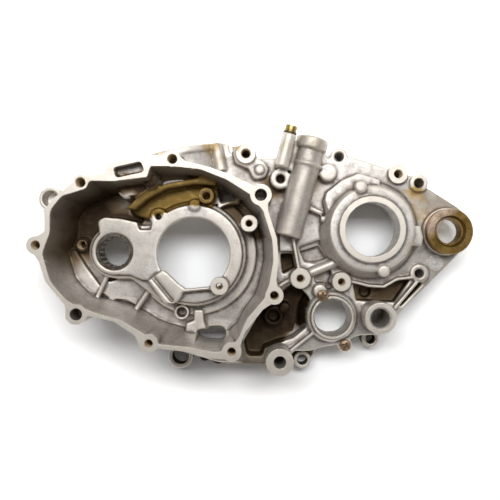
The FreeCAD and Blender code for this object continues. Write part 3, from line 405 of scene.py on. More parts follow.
def spot(points, centre, radius, strength=1.0):
    """A soft round patch on the plan, in millimetres."""
    distance = np.hypot(points[:, 0] - centre[0], points[:, 1] - centre[1])
    return strength * (1 - smooth_step(0.55 * radius, radius, distance))


def inside(points, corners):
    """Whether each point lies inside an outline on the plan."""
    x, y = points[:, 0], points[:, 1]
    result = np.zeros(len(points), dtype=bool)
    for (x0, y0), (x1, y1) in zip(corners, corners[1:] + corners[:1]):
        if y0 != y1:
            result ^= ((y0 > y) != (y1 > y)) & (x < x0 + (y - y0) / (y1 - y0) * (x1 - x0))
    return result


plan = point_array(skin_mesh) / MM
height = plan[:, 2]
level = normal_array(skin_mesh)[:, 2]
from_shaft = np.hypot(plan[:, 0], plan[:, 1])

CAVITY = [(-125, -6), (-121, 18), (-116, 42), (-96, 57), (-76, 64), (-36, 70), (-16, 78), (18, 71),
          (50, 53), (66, 26), (71, -2), (67, -28), (48, -55), (38, -80), (4, -79), (-30, -75),
          (-58, -55), (-98, -43), (-119, -24)]
CAVITY_FLOOR = 28
RIM_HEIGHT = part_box("crankcase_casting")[1].z / MM
in_cavity = inside(plan, CAVITY) & (height > CAVITY_FLOOR) & (height < RIM_HEIGHT - 0.4)
print("rim at", round(RIM_HEIGHT, 2), "mm,", in_cavity.sum(), "points in the generator's cavity")

# %% [markdown]
# `chromate` is the olive-gold film left by the conversion bath. It is strongest on the band
# over the crankshaft's boss, and thin on a few bosses and on the cylinder's deck.

# %% Gold film
GOLD_BAND = [(-60, 38), (-49, 48), (-37, 57), (-20, 63), (19, 70), (22, 57), (17, 38), (8, 41), (-16, 38),
             (-29, 34), (-36, 32), (-42, 29), (-53, 29)]
BAND_LOW, BAND_HIGH = 40, 61.7
BAND_FILM = 0.92
RING_REACH = 42.5
FILM_TOP = 62
GOLD_SPOTS = (
    ((-29, 86), 9, 0.2), ((14, 99), 11, 0.42), ((37, 98), 7, 0.42), ((200, 55), 9, 0.6),
    ((205, 44), 12, 0.3), ((193, 5), 8, 0.15), ((108, 95), 10, 0.1), ((108, 62), 12, 0.1),
    ((21, 85), 8, 0.15), ((80, 92), 8, 0.14), ((204, 36), 9, 0.25),
)
band = inside(plan, GOLD_BAND) & (height > BAND_LOW) & (height < BAND_HIGH) & (from_shaft > RING_REACH)
chromate = np.where(band, BAND_FILM, 0.0)
for centre, width, strength in GOLD_SPOTS:
    chromate = np.maximum(chromate, spot(plan, centre, width, strength) * (height < FILM_TOP) * ~in_cavity)
stored(skin_mesh, "chromate", chromate)
print("gold film on", (chromate > 0).sum(), "points")

# %% [markdown]
# The next mask is painted shade, in brown. In the generator's cavity it is the painted shadow
# of the upper walls: it lies on the upper half of the floor, thins out towards the crankshaft and
# to the right, and is thinner on the walls. A tier on the right is darkened too. The mask is left
# off one flat spot and off the top of the bridge round the needle bearing.

# %% Painted shadow in the cavity
TIER_DARK = [(23, 41), (33, 46), (43, 42), (52, 35), (62, 14), (55, 11), (47, 19), (40, 26), (32, 33)]
TIER_TOP = 58
UNSHADED_PATCH = [(-70, 52), (-50, 53), (-60, 37), (-68, 41)]
BRIDGE_HEIGHT = 45
FLAT = 0.5

# Painted shadow: darkest on the upper half of the cavity and towards its upper left.
upper_half = smooth_step(-8, 26, plan[:, 1] - 0.35 * (plan[:, 0] + 60))
left_part = 1 - smooth_step(50, 62, plan[:, 0])
cavity_shade = in_cavity * upper_half * left_part * smooth_step(50, 58, from_shaft)
cavity_shade = np.maximum(cavity_shade, in_cavity * spot(plan, (-86, 38), 36, 1.0))
cavity_shade = np.maximum(cavity_shade, 0.8 * inside(plan, TIER_DARK) * (height < TIER_TOP) * (from_shaft > RING_REACH))
cavity_shade = cavity_shade * np.where(level > FLAT, 1.0, 0.56 - 0.2 * smooth_step(35, 78, height))
bridge_top = (height > BRIDGE_HEIGHT) & (level > FLAT) & (plan[:, 1] < 33) & (plan[:, 0] < -30)
cavity_shade = cavity_shade * (1 - 0.9 * bridge_top)
# No painted shade on this patch, and less painted sky shade.
cavity_shade = cavity_shade * (1 - 0.85 * inside(plan, UNSHADED_PATCH))
shelter = shelter * (1 - 0.6 * inside(plan, UNSHADED_PATCH))
print("oil on", (cavity_shade > 0).sum(), "points")

# %% [markdown]
# Outside the cavity the painted shade fills the deep pocket at the release tube's foot, and lies
# in patches on the low lugs and behind the wall. Each patch has a height above which the metal
# keeps its own colour. Where the gold film is thick, no painted shade shows.

# %% Painted shade outside the cavity
FOOT_POCKET = [(64, -42), (77, -34), (88, -27), (97, -33), (104, -42), (103, -62), (90, -72), (78, -82),
               (69, -92), (66, -106), (38, -106), (41, -84), (52, -65)]
POCKET_TOP = 31
SHADE_SPOTS = (
    ((82, -8), 16, 0.9, 22), ((70, 60), 13, 0.8, 33), ((168, -36), 32, 0.85, 28),
    ((194, -36), 18, 0.95, 28), ((-16, -96), 24, 1.0, 14), ((12, -98), 22, 1.0, 14),
    ((98, -101), 16, 1.0, 14), ((163, -80), 14, 1.0, 14), ((-138, 51), 9, 0.9, 15.4),
    ((104, -36), 12, 0.6, 28), ((222, 52), 24, 0.25, 33), ((226, 44), 18, 0.35, 33),
    ((228, -12), 20, 0.2, 33), ((206, -32), 14, 0.2, 33),
)
TUBE = [(78, 14), (95, 10), (117, 100), (112, 113), (91, 113), (89, 91)]
TUBE_HEIGHT = 34

# Painted shade in the foot pocket and in patches; the release tube is made a little darker.
fading = 0.98 - 0.2 * smooth_step(60, 100, -plan[:, 1])
in_pocket = inside(plan, FOOT_POCKET) * (1 - smooth_step(POCKET_TOP - 2, POCKET_TOP, height))
painted_shade = np.maximum(cavity_shade, fading * in_pocket)
painted_shade = np.maximum(painted_shade, 0.15 * inside(plan, TUBE) * (height > TUBE_HEIGHT))
for centre, width, strength, top in SHADE_SPOTS:
    patch = spot(plan, centre, width, strength) * (1 - smooth_step(top - 2, top + 1, height))
    painted_shade = np.maximum(painted_shade, patch * (height > 1))
painted_shade *= 1 - chromate
stored(skin_mesh, "painted_shade", painted_shade)
print("dirt on", (painted_shade > 0).sum(), "points")

# %% [markdown]
# `bore` marks the walls of the bolt holes, which the tap left bare and warm. Wide bores keep
# the look of the casting.

# %% Bare walls of the bolt holes
WIDEST_BOLT = 4.4 * MM
BORE_DEPTH = 24
WALL_TILT = 0.6

bore = np.zeros(len(plan))
for centre, reach in holes:
    x, y, z = centre / MM
    near = np.hypot(plan[:, 0] - x, plan[:, 1] - y) < reach / MM + 0.5
    wall = near & (height < z - 0.6) & (height > z - BORE_DEPTH) & (level < WALL_TILT)
    bore[wall] = reach < WIDEST_BOLT
stored(skin_mesh, "bore", bore)
stored(skin_mesh, "shelter", shelter * (1 - bore))
print("bare bore walls on", int(bore.sum()), "points")

# %% [markdown]
# A milled face is one flat plane, so it is shaded flat, while the cast metal round it is shaded
# smooth. The faces themselves are marked, and not their points, because the mark has to stop
# sharply at the edge.

# %% Milled faces
NEARLY_LEVEL = 0.95

centres = np.empty(len(skin_mesh.polygons) * 3)
skin_mesh.polygons.foreach_get("center", centres)
facing = np.empty(len(skin_mesh.polygons) * 3, dtype=np.float32)
skin_mesh.polygon_normals.foreach_get("vector", facing)
milled = []
for centre, up in zip(centres.reshape(-1, 3), facing.reshape(-1, 3)[:, 2]):
    on_top = up > NEARLY_LEVEL and milled_tree.find_nearest(Vector(centre), 0.4 * MM)[0] is not None
    on_joint = up < -NEARLY_LEVEL and centre[2] < 0.1 * MM
    milled.append(1.0 if on_top or on_joint else 0.0)
stored(skin_mesh, "milled", milled, "FACE")
print("milled faces", int(sum(milled)))

skin_mesh.shade_smooth()
skin_mesh.polygons.foreach_set("use_smooth", [value == 0 for value in milled])
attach(skin, "root")
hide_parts("crankcase_casting")

# %% [markdown]
# ## Surfaces
# Each metal is one node tree on object coordinates, so its grain stays on the piece from every
# side. Sand leaves a speckled grain, and the cutter leaves one even tone.

# %% Node helpers
def new_material(name, color, metallic, roughness):
    """A material with one surface node; returns it with its node tree and surface."""
    material = bpy.data.materials.new(name)
    material.use_nodes = True
    tree = material.node_tree
    surface = tree.nodes["Principled BSDF"]
    surface.inputs["Base Color"].default_value = (*color, 1)
    surface.inputs["Metallic"].default_value = metallic
    surface.inputs["Roughness"].default_value = roughness
    return material, tree, surface


def noise(tree, scale, detail=3.0, roughness=0.55):
    """Noise on object coordinates; the scale counts features per metre."""
    place = tree.nodes.new("ShaderNodeTexCoord")
    texture = tree.nodes.new("ShaderNodeTexNoise")
    texture.inputs["Scale"].default_value = scale
    texture.inputs["Detail"].default_value = detail
    texture.inputs["Roughness"].default_value = roughness
    tree.links.new(place.outputs["Object"], texture.inputs["Vector"])
    return texture.outputs["Fac"]


def maths(tree, kind, first, second):
    node = tree.nodes.new("ShaderNodeMath")
    node.operation = kind
    for slot, value in enumerate((first, second)):
        if hasattr(value, "is_linked"):
            tree.links.new(value, node.inputs[slot])
        else:
            node.inputs[slot].default_value = value
    return node.outputs[0]


def remap(tree, value, low, high, to_low, to_high):
    node = tree.nodes.new("ShaderNodeMapRange")
    for name, number in (("From Min", low), ("From Max", high), ("To Min", to_low), ("To Max", to_high)):
        node.inputs[name].default_value = number
    tree.links.new(value, node.inputs["Value"])
    return node.outputs["Result"]


def blend(tree, share, first, second):
    """A colour between two colours or sockets."""
    node = tree.nodes.new("ShaderNodeMix")
    node.data_type = "RGBA"
    tree.links.new(share, node.inputs["Factor"])
    for name, color in (("A", first), ("B", second)):
        socket = [s for s in node.inputs if s.name == name and s.type == "RGBA"][0]
        if hasattr(color, "is_linked"):
            tree.links.new(color, socket)
        else:
            socket.default_value = (*color, 1)
    return [s for s in node.outputs if s.type == "RGBA"][0]


def painted(tree, name):
    node = tree.nodes.new("ShaderNodeAttribute")
    node.attribute_name = name
    return node.outputs["Fac"]


def grain(tree, surface, height, strength, distance):
    node = tree.nodes.new("ShaderNodeBump")
    node.inputs["Strength"].default_value = strength
    node.inputs["Distance"].default_value = distance
    tree.links.new(height, node.inputs["Height"])
    tree.links.new(node.outputs["Normal"], surface.inputs["Normal"])


# %% [markdown]
# Cast aluminium is a dull metal: its grain scatters light, yet the side towards the lamp
# still gleams. The colour is built in layers, from the bare metal up: cloudy variation, dark
# specks of sand in three sizes, a painted highlight on the edges, painted shade in the crevices
# and sheltered corners, the gold film, and painted shade in two browns. Every layer is a blend
# of two colours, steered by noise or by a number stored on the skin.

# %% Cast aluminium, bare, with painted highlight and shade
BARE_DARK, BARE_LIGHT = (0.62, 0.58, 0.54), (0.78, 0.75, 0.72)
# The pale edge colour is a painted highlight; the crevice colour and the two browns are painted shade.
SPECK, EDGE_HIGHLIGHT, MILLED = (0.36, 0.32, 0.28), (0.88, 0.82, 0.72), (0.72, 0.67, 0.61)
CREVICE_SHADE, SHADE_BROWN, DEEP_SHADE_BROWN = (0.13, 0.10, 0.075), (0.20, 0.145, 0.085), (0.040, 0.023, 0.012)
GOLD, OLIVE = (0.46, 0.33, 0.15), (0.20, 0.125, 0.028)
TAPPED_WALL = (0.66, 0.52, 0.34)

cast, tree, surface = new_material("cast_aluminium", BARE_LIGHT, 0.8, 0.5)
sand = noise(tree, 1100, 4, 0.65)
pitting = noise(tree, 620, 4, 0.7)
blotch = noise(tree, 170, 4, 0.6)
cloud = noise(tree, 28, 3)
metal = blend(tree, remap(tree, cloud, 0.3, 0.7, 0.0, 1.0), BARE_DARK, BARE_LIGHT)
metal = blend(tree, remap(tree, blotch, 0.48, 0.72, 0.0, 0.4), metal, SPECK)
metal = blend(tree, remap(tree, pitting, 0.5, 0.64, 0.0, 0.4), metal, SPECK)
metal = blend(tree, remap(tree, sand, 0.52, 0.7, 0.0, 0.4), metal, SPECK)
metal = blend(tree, painted(tree, "milled"), metal, MILLED)
# Convex edges are painted lighter, as a highlight.
metal = blend(tree, remap(tree, painted(tree, "hollow"), -0.06, -0.28, 0.0, 0.6), metal, EDGE_HIGHLIGHT)
# Fine hollows are painted darker, as shade.
hollow_shade = maths(tree, "MULTIPLY", remap(tree, painted(tree, "hollow"), 0.04, 0.3, 0.0, 0.75),
              remap(tree, blotch, 0.3, 0.6, 0.55, 1.0))
metal = blend(tree, hollow_shade, metal, CREVICE_SHADE)
# Corners that miss much of the sky are painted darker, as shade.
sky_shade = maths(tree, "MULTIPLY", remap(tree, painted(tree, "shelter"), 0.4, 0.9, 0.0, 0.4),
             remap(tree, cloud, 0.3, 0.6, 0.6, 1.0))
metal = blend(tree, sky_shade, metal, CREVICE_SHADE)
print("bare metal has", len(tree.nodes), "nodes")

# %% Cast aluminium, film and painted shade
film = maths(tree, "MULTIPLY", painted(tree, "chromate"), remap(tree, blotch, 0.3, 0.65, 0.8, 1.05))
metal = blend(tree, remap(tree, film, 0.0, 0.5, 0.0, 1.0), metal, GOLD)
metal = blend(tree, remap(tree, film, 0.5, 0.85, 0.0, 1.0), metal, OLIVE)
# Painted shade, in two steps of brown.
shade_level = maths(tree, "MULTIPLY", painted(tree, "painted_shade"), remap(tree, blotch, 0.25, 0.7, 1.0, 0.82))
metal = blend(tree, remap(tree, shade_level, 0.0, 0.5, 0.0, 1.0), metal, SHADE_BROWN)
metal = blend(tree, remap(tree, shade_level, 0.5, 0.9, 0.0, 1.0), metal, DEEP_SHADE_BROWN)
metal = blend(tree, painted(tree, "bore"), metal, TAPPED_WALL)
tree.links.new(metal, surface.inputs["Base Color"])
tree.links.new(remap(tree, painted(tree, "bore"), 0.0, 1.0, 0.8, 0.2), surface.inputs["Metallic"])
tree.links.new(remap(tree, blotch, 0.3, 0.7, 0.44, 0.6), surface.inputs["Roughness"])
grain(tree, surface, sand, 0.4, 0.3 * MM)
skin_mesh.materials.clear()
skin_mesh.materials.append(cast)
CASTING.data.materials.clear()
CASTING.data.materials.append(cast)
print("cast aluminium has", len(tree.nodes), "nodes")

# %% [markdown]
# The small parts are of other metals. The needle bearing's shell is dark, hardened steel, its
# needles are ground bright, and the screws are zinc-plated and rusty. Each is two tones of the
# metal, mixed by noise.

# %% Bearing steel and zinc
steel, tree, surface = new_material("bearing_steel", (0.16, 0.135, 0.11), 0.85, 0.32)
stain = remap(tree, noise(tree, 400), 0.35, 0.65, 0.0, 1.0)
tree.links.new(blend(tree, stain, (0.09, 0.07, 0.05), (0.24, 0.21, 0.17)), surface.inputs["Base Color"])
needle_steel = new_material("needle_steel", (0.42, 0.39, 0.35), 0.9, 0.22)[0]

zinc, tree, surface = new_material("zinc_plated_steel", (0.50, 0.34, 0.20), 0.7, 0.42)
stain = remap(tree, noise(tree, 420, 4), 0.38, 0.62, 0.0, 1.0)
tree.links.new(blend(tree, stain, (0.17, 0.10, 0.05), (0.52, 0.38, 0.25)), surface.inputs["Base Color"])
tree.links.new(remap(tree, noise(tree, 300), 0.3, 0.7, 0.3, 0.6), surface.inputs["Roughness"])
print("screws and bearing have", steel.name, "and", zinc.name)

# %% [markdown]
# The swingarm's bush is dark olive bronze. Its upper left side faces the light and is painted
# lighter and pink, a painted highlight, so the mask there grows along the diagonal, from the
# bush's own middle outwards.

# %% Bronze bush
TARNISHED, OPEN_BRONZE = (0.150, 0.085, 0.014), (0.33, 0.215, 0.07)
LIT_BRONZE, PIT = (0.72, 0.56, 0.46), (0.07, 0.045, 0.02)
LIT_FROM, LIT_TO = 9 * MM, 24 * MM

bronze, tree, surface = new_material("bush_bronze", (0.24, 0.16, 0.07), 0.95, 0.42)
low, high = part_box("pivot_bush")
middle = (low.y + high.y - low.x - high.x) / 2
tarnish = remap(tree, noise(tree, 75, 4), 0.35, 0.62, 0.0, 1.0)
metal = blend(tree, tarnish, TARNISHED, OPEN_BRONZE)
place = tree.nodes.new("ShaderNodeTexCoord")
parts = tree.nodes.new("ShaderNodeSeparateXYZ")
tree.links.new(place.outputs["Object"], parts.inputs[0])
diagonal = maths(tree, "SUBTRACT", parts.outputs["Y"], parts.outputs["X"])
# Painted light: the upper left side is lighter and pink.
lit_side = remap(tree, diagonal, middle + LIT_FROM, middle + LIT_TO, 0.0, 0.9)
patchy = maths(tree, "MULTIPLY", lit_side, remap(tree, noise(tree, 130), 0.35, 0.6, 0.5, 1.0))
metal = blend(tree, patchy, metal, LIT_BRONZE)
metal = blend(tree, remap(tree, noise(tree, 700, 3), 0.45, 0.7, 0.0, 0.5), metal, PIT)
tree.links.new(metal, surface.inputs["Base Color"])
grain(tree, surface, noise(tree, 900, 3), 0.25, 0.2 * MM)
print("bronze has", len(tree.nodes), "nodes")

# %% Brass, washer, and each small part's metal
brass, tree, surface = new_material("plug_brass", (0.36, 0.26, 0.10), 0.9, 0.38)
tarnish = remap(tree, noise(tree, 300, 3), 0.35, 0.65, 0.0, 1.0)
tree.links.new(blend(tree, tarnish, (0.20, 0.14, 0.04), (0.44, 0.34, 0.12)), surface.inputs["Base Color"])
dark_metal = new_material("dark_washer", (0.10, 0.07, 0.035), 0.6, 0.45)[0]

DRESSED = {
    "needle_bearing_cup": steel, "needle_bearing_cage": steel, "needle_rollers": needle_steel,
    "bearing_screw_upper": zinc, "bearing_screw_lower": zinc, "pivot_bush": bronze,
    "bleed_plug": brass, "sealing_washer": dark_metal,
}
for name, material in DRESSED.items():
    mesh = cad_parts[name].data
    mesh.materials.clear()
    mesh.materials.append(material)
print("dressed", len(DRESSED))

# %% [markdown]
# ## Small parts from Geometry Nodes
# Threads, needles and screws repeat, so each is drawn once as a small node tree and copied
# onto points. The tree's sizes are named inputs of its modifier. At the end the copies are made
# real, given their material, and turned into a plain mesh.

# %% Geometry Nodes helpers
def new_tree(name, sizes):
    """An empty tree with a geometry input, named size inputs and a geometry output."""
    tree = bpy.data.node_groups.new(name, "GeometryNodeTree")
    tree.interface.new_socket("Geometry", in_out="INPUT", socket_type="NodeSocketGeometry")
    for size_name in sizes:
        tree.interface.new_socket(size_name, in_out="INPUT", socket_type="NodeSocketFloat")
    tree.interface.new_socket("Geometry", in_out="OUTPUT", socket_type="NodeSocketGeometry")
    return tree, tree.nodes.new("NodeGroupInput")


def step(tree, kind, settings=(), **inputs):
    """A node; each input is a number, a socket or a list of sockets, "_" standing for a space."""
    node = tree.nodes.new(kind)
    for name, value in dict(settings).items():
        setattr(node, name, value)
    for name, value in inputs.items():
        socket = [s for s in node.inputs if s.identifier == name.replace("_", " ")][0]
        for source in value if isinstance(value, list) else [value]:
            if hasattr(source, "is_linked"):
                tree.links.new(source, socket)
            else:
                socket.default_value = source
    return node


def vector(tree, x=0.0, y=0.0, z=0.0):
    return step(tree, "ShaderNodeCombineXYZ", X=x, Y=y, Z=z).outputs["Vector"]


def finished(tree, copies, material):
    """Makes the copies real, gives them their material and ends the tree."""
    real = step(tree, "GeometryNodeRealizeInstances", Geometry=copies)
    painted_copies = step(tree, "GeometryNodeSetMaterial", Geometry=real.outputs[0], Material=material)
    tree.links.new(painted_copies.outputs[0], tree.nodes.new("NodeGroupOutput").inputs[0])


def grown(name, spots, tree, sizes, numbers=None):
    """An object with a point at each spot, turned by the tree into a plain mesh."""
    mesh = bpy.data.meshes.new(name)
    mesh.from_pydata(spots, [], [])
    for key, values in (numbers or {}).items():
        stored(mesh, key, values)
    obj = bpy.data.objects.new(name, mesh)
    bpy.context.scene.collection.objects.link(obj)
    modifier = obj.modifiers.new("grow", "NODES")
    modifier.node_group = tree
    for socket in tree.interface.items_tree:
        if socket.in_out == "INPUT" and socket.name in sizes:
            modifier[socket.identifier] = sizes[socket.name]
    result = applied(obj)
    print(name, len(result.polygons), "faces")
    return obj


# %% [markdown]
# A tapped hole holds a helix: a spiral with no change of radius, swept with a small diamond
# whose inner half stands out of the wall as the thread's crest. One turn is as high as the
# pitch. Only the bolt holes of the cover and of the raised bosses are tapped; the long case
# bolts pass through plain holes.

# %% Bolt threads
THREAD_LENGTH, THREAD_RADIUS, THREAD_START = 10 * MM, 4 * MM, 0.8 * MM
THREAD_PITCH, THREAD_CREST = 1.25 * MM, 0.42 * MM
LOWEST_TAPPED = 34 * MM
NARROWEST, WIDEST = 2.7 * MM, 4.3 * MM

tree, given = new_tree("bolt_thread", ("Pitch", "Length", "Crest"))
turns = maths(tree, "DIVIDE", given.outputs["Length"], given.outputs["Pitch"])
spiral = step(tree, "GeometryNodeCurveSpiral", Resolution=20, Rotations=turns, Start_Radius=THREAD_RADIUS,
              End_Radius=THREAD_RADIUS, Height=given.outputs["Length"])
crest = step(tree, "GeometryNodeCurvePrimitiveCircle", Resolution=4, Radius=given.outputs["Crest"])
helix = step(tree, "GeometryNodeCurveToMesh", Curve=spiral.outputs[0], Profile_Curve=crest.outputs[0],
             Fill_Caps=True)
width = step(tree, "GeometryNodeInputNamedAttribute", {"data_type": "FLOAT"}, Name="hole_radius")
share = maths(tree, "DIVIDE", width.outputs["Attribute"], THREAD_RADIUS)
copies = step(tree, "GeometryNodeInstanceOnPoints", Points=given.outputs["Geometry"],
              Instance=helix.outputs[0], Scale=vector(tree, share, share, 1.0))
finished(tree, copies.outputs[0], new_material("tapped_thread", TAPPED_WALL, 0.4, 0.45)[0])

tapped = [(centre, reach) for centre, reach in holes
          if centre.z > LOWEST_TAPPED and NARROWEST < reach < WIDEST]
down = Vector((0, 0, THREAD_LENGTH + THREAD_START))
sizes = {"Pitch": THREAD_PITCH, "Length": THREAD_LENGTH, "Crest": THREAD_CREST}
threads = grown("bolt_threads", [centre - down for centre, reach in tapped], tree, sizes,
                {"hole_radius": [reach for centre, reach in tapped]})
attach(threads, "root")
print("tapped holes", len(tapped))

# %% [markdown]
# The needle bearing's rollers are ground steel pins with tapered ends. Their ring's radius and
# their length are read from the box of the CAD needles that they stand for.

# %% Needles
NEEDLE_COUNT, NEEDLE_RADIUS, NEEDLE_TAPER = 18, 1.25 * MM, 0.5 * MM
low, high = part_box("needle_rollers")

tree, given = new_tree("needle_ring", ("Ring radius", "Needle radius", "Length", "Taper"))
both_ends = maths(tree, "MULTIPLY", given.outputs["Taper"], 2.0)
straight = maths(tree, "SUBTRACT", given.outputs["Length"], both_ends)
lift = maths(tree, "DIVIDE", straight, 2.0)
tip = maths(tree, "SUBTRACT", given.outputs["Needle radius"], given.outputs["Taper"])
barrel = step(tree, "GeometryNodeMeshCone", {"fill_type": "NONE"}, Vertices=16, Depth=straight,
              Radius_Top=given.outputs["Needle radius"], Radius_Bottom=given.outputs["Needle radius"])
barrel = step(tree, "GeometryNodeTransform", Geometry=barrel.outputs["Mesh"],
              Translation=vector(tree, z=maths(tree, "MULTIPLY", lift, -1.0)))
end = step(tree, "GeometryNodeMeshCone", Vertices=16, Depth=given.outputs["Taper"], Radius_Top=tip,
           Radius_Bottom=given.outputs["Needle radius"])
top = step(tree, "GeometryNodeTransform", Geometry=end.outputs["Mesh"], Translation=vector(tree, z=lift))
foot = step(tree, "GeometryNodeTransform", Geometry=top.outputs[0], Rotation=(math.pi, 0, 0))
whole = step(tree, "GeometryNodeJoinGeometry", Geometry=[part.outputs[0] for part in (barrel, top, foot)])
ring = step(tree, "GeometryNodeCurvePrimitiveCircle", Resolution=NEEDLE_COUNT,
            Radius=given.outputs["Ring radius"])
around = step(tree, "GeometryNodeInstanceOnPoints", Points=ring.outputs[0], Instance=whole.outputs[0])
real_ring = step(tree, "GeometryNodeRealizeInstances", Geometry=around.outputs[0])
copies = step(tree, "GeometryNodeInstanceOnPoints", Points=given.outputs["Geometry"],
              Instance=real_ring.outputs[0])
finished(tree, copies.outputs[0], needle_steel)

sizes = {
    "Ring radius": (high.x - low.x) / 2 - NEEDLE_RADIUS, "Needle radius": NEEDLE_RADIUS,
    "Length": high.z - low.z, "Taper": NEEDLE_TAPER,
}
needles = grown("needle_ring", [(low + high) / 2], tree, sizes)
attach(needles, "root")
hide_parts("needle_rollers")

# %% [markdown]
# The two bearing screws have a low domed head with a cross recess. The head is a cylinder with
# a flattened ball on top; two blades are cut out of it. Each screw stopped at its own angle
# when it was tightened, so each point carries a turn.

# %% Domed screws
SHANK_LENGTH, SHANK_RADIUS = 9 * MM, 2.9 * MM
HEAD_SIDE = 0.45
BLADE = (6.4 * MM, 1.5 * MM, 4.8 * MM)
TURNS = (math.radians(8), math.radians(-22))
seats = [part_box("bearing_screw_upper"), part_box("bearing_screw_lower")]
head_radius = (seats[0][1].x - seats[0][0].x) / 2
head_height = seats[0][1].z - seats[0][0].z - SHANK_LENGTH

tree, given = new_tree("domed_screw", ("Head radius", "Head height", "Shank radius", "Shank length"))
side = maths(tree, "MULTIPLY", given.outputs["Head height"], HEAD_SIDE)
dome = maths(tree, "SUBTRACT", given.outputs["Head height"], side)
disc = step(tree, "GeometryNodeMeshCone", Vertices=40, Depth=side, Radius_Top=given.outputs["Head radius"],
            Radius_Bottom=given.outputs["Head radius"])
ball = step(tree, "GeometryNodeMeshUVSphere", Segments=40, Rings=20, Radius=1.0)
cap = step(tree, "GeometryNodeTransform", Geometry=ball.outputs["Mesh"], Translation=vector(tree, z=side),
           Scale=vector(tree, given.outputs["Head radius"], given.outputs["Head radius"], dome))
shank = step(tree, "GeometryNodeMeshCone", Vertices=24, Depth=given.outputs["Shank length"],
             Radius_Top=given.outputs["Shank radius"], Radius_Bottom=given.outputs["Shank radius"])
shank = step(tree, "GeometryNodeTransform", Geometry=shank.outputs["Mesh"],
             Translation=vector(tree, z=maths(tree, "MULTIPLY", given.outputs["Shank length"], -1.0)))
head = step(tree, "GeometryNodeMeshBoolean", {"operation": "UNION"},
            Mesh_2=[disc.outputs["Mesh"], cap.outputs[0], shank.outputs[0]])
blade = step(tree, "GeometryNodeMeshCube", Size=BLADE)
blade = step(tree, "GeometryNodeTransform", Geometry=blade.outputs["Mesh"],
             Translation=vector(tree, z=given.outputs["Head height"]))
across = step(tree, "GeometryNodeTransform", Geometry=blade.outputs[0], Rotation=(0, 0, math.pi / 2))
recessed = step(tree, "GeometryNodeMeshBoolean", {"operation": "DIFFERENCE"}, Mesh_1=head.outputs[0],
                Mesh_2=[blade.outputs[0], across.outputs[0]])
turn = step(tree, "GeometryNodeInputNamedAttribute", {"data_type": "FLOAT"}, Name="turn")
copies = step(tree, "GeometryNodeInstanceOnPoints", Points=given.outputs["Geometry"],
              Instance=recessed.outputs[0], Rotation=vector(tree, z=turn.outputs["Attribute"]))
finished(tree, copies.outputs[0], zinc)

spots = [((low.x + high.x) / 2, (low.y + high.y) / 2, high.z - head_height) for low, high in seats]
sizes = {
    "Head radius": head_radius, "Head height": head_height, "Shank radius": SHANK_RADIUS,
    "Shank length": SHANK_LENGTH,
}
screws = grown("bearing_screws", spots, tree, sizes, {"turn": TURNS})
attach(screws, "root")
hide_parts("bearing_screw_upper", "bearing_screw_lower")

# %% [markdown]
# The foundry's round stamp beside the swingarm pivot is left plain: a low ring with a shallow
# dish. Its profile is spun about an upright axis, which suits any round piece.

# %% Foundry ring
RING_PLACE = Vector((217.8, -8.8, 30.0)) * MM
RING_PROFILE = ((7.4, -0.3), (7.3, 0.35), (6.9, 0.55), (6.3, 0.5), (6.0, 0.15), (2.2, 0.12), (1.9, 0.4),
                (1.2, 0.5), (0.0, 0.5))


def turned(name, profile, place, sides=72):
    """A mesh turned about an upright axis from a profile of radius and height in millimetres."""
    shell = bmesh.new()
    chain = [shell.verts.new((across * MM, 0, up * MM)) for across, up in profile]
    edges = [shell.edges.new(pair) for pair in zip(chain, chain[1:])]
    bmesh.ops.spin(shell, geom=chain + edges, cent=(0, 0, 0), axis=(0, 0, 1), angle=2 * math.pi,
                   steps=sides, use_merge=True)
    bmesh.ops.remove_doubles(shell, verts=shell.verts, dist=0.001 * MM)
    bmesh.ops.recalc_face_normals(shell, faces=shell.faces)
    bmesh.ops.transform(shell, matrix=Matrix.Translation(place), verts=shell.verts)
    mesh = bpy.data.meshes.new(name)
    shell.to_mesh(mesh)
    shell.free()
    obj = bpy.data.objects.new(name, mesh)
    bpy.context.scene.collection.objects.link(obj)
    return obj


stamp = turned("foundry_ring", RING_PROFILE, RING_PLACE)
faces_down = sum(face.normal.z * face.area for face in stamp.data.polygons) < 0
if faces_down:
    stamp.data.flip_normals()
stamp.data.materials.append(cast)
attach(stamp, "root")
print("foundry ring", len(stamp.data.polygons), "faces")

# %% [markdown]
# ## Table and light
# One long softbox hangs high, beyond the upper edge of the part, and reaches past both of its
# ends. The walls on that side throw their shadow into the cavity, and the metal is brightest
# along the top, where it mirrors the box. The room is nearly dark. The camera and mirrored rays
# see a brighter table and pale walls low down, so the metal shows a white studio, yet gets no
# more soft light for it. The table's paint is brighter still away from the part; near and under
# the part it is darker and a little blue, as painted shade.

# %% Rays that see the background
def background_rays(tree):
    rays = tree.nodes.new("ShaderNodeLightPath")
    seen_or_mirrored = maths(tree, "MAXIMUM", rays.outputs["Is Camera Ray"], rays.outputs["Is Glossy Ray"])
    return maths(tree, "MAXIMUM", seen_or_mirrored, rays.outputs["Is Transmission Ray"])


# %% Table
TABLE_SIZE, TABLE_GAP = 8, 0.2 * MM
OVAL = (0.185, 0.13)
FADE_FROM, FADE_TO = 0.88, 1.35
# Near and under the part the paper is darker and a little blue: painted shade.
SHADED_PAPER_NEAR, PAPER_FAR = (1.36, 1.39, 1.42), (2.4, 2.4, 2.4)

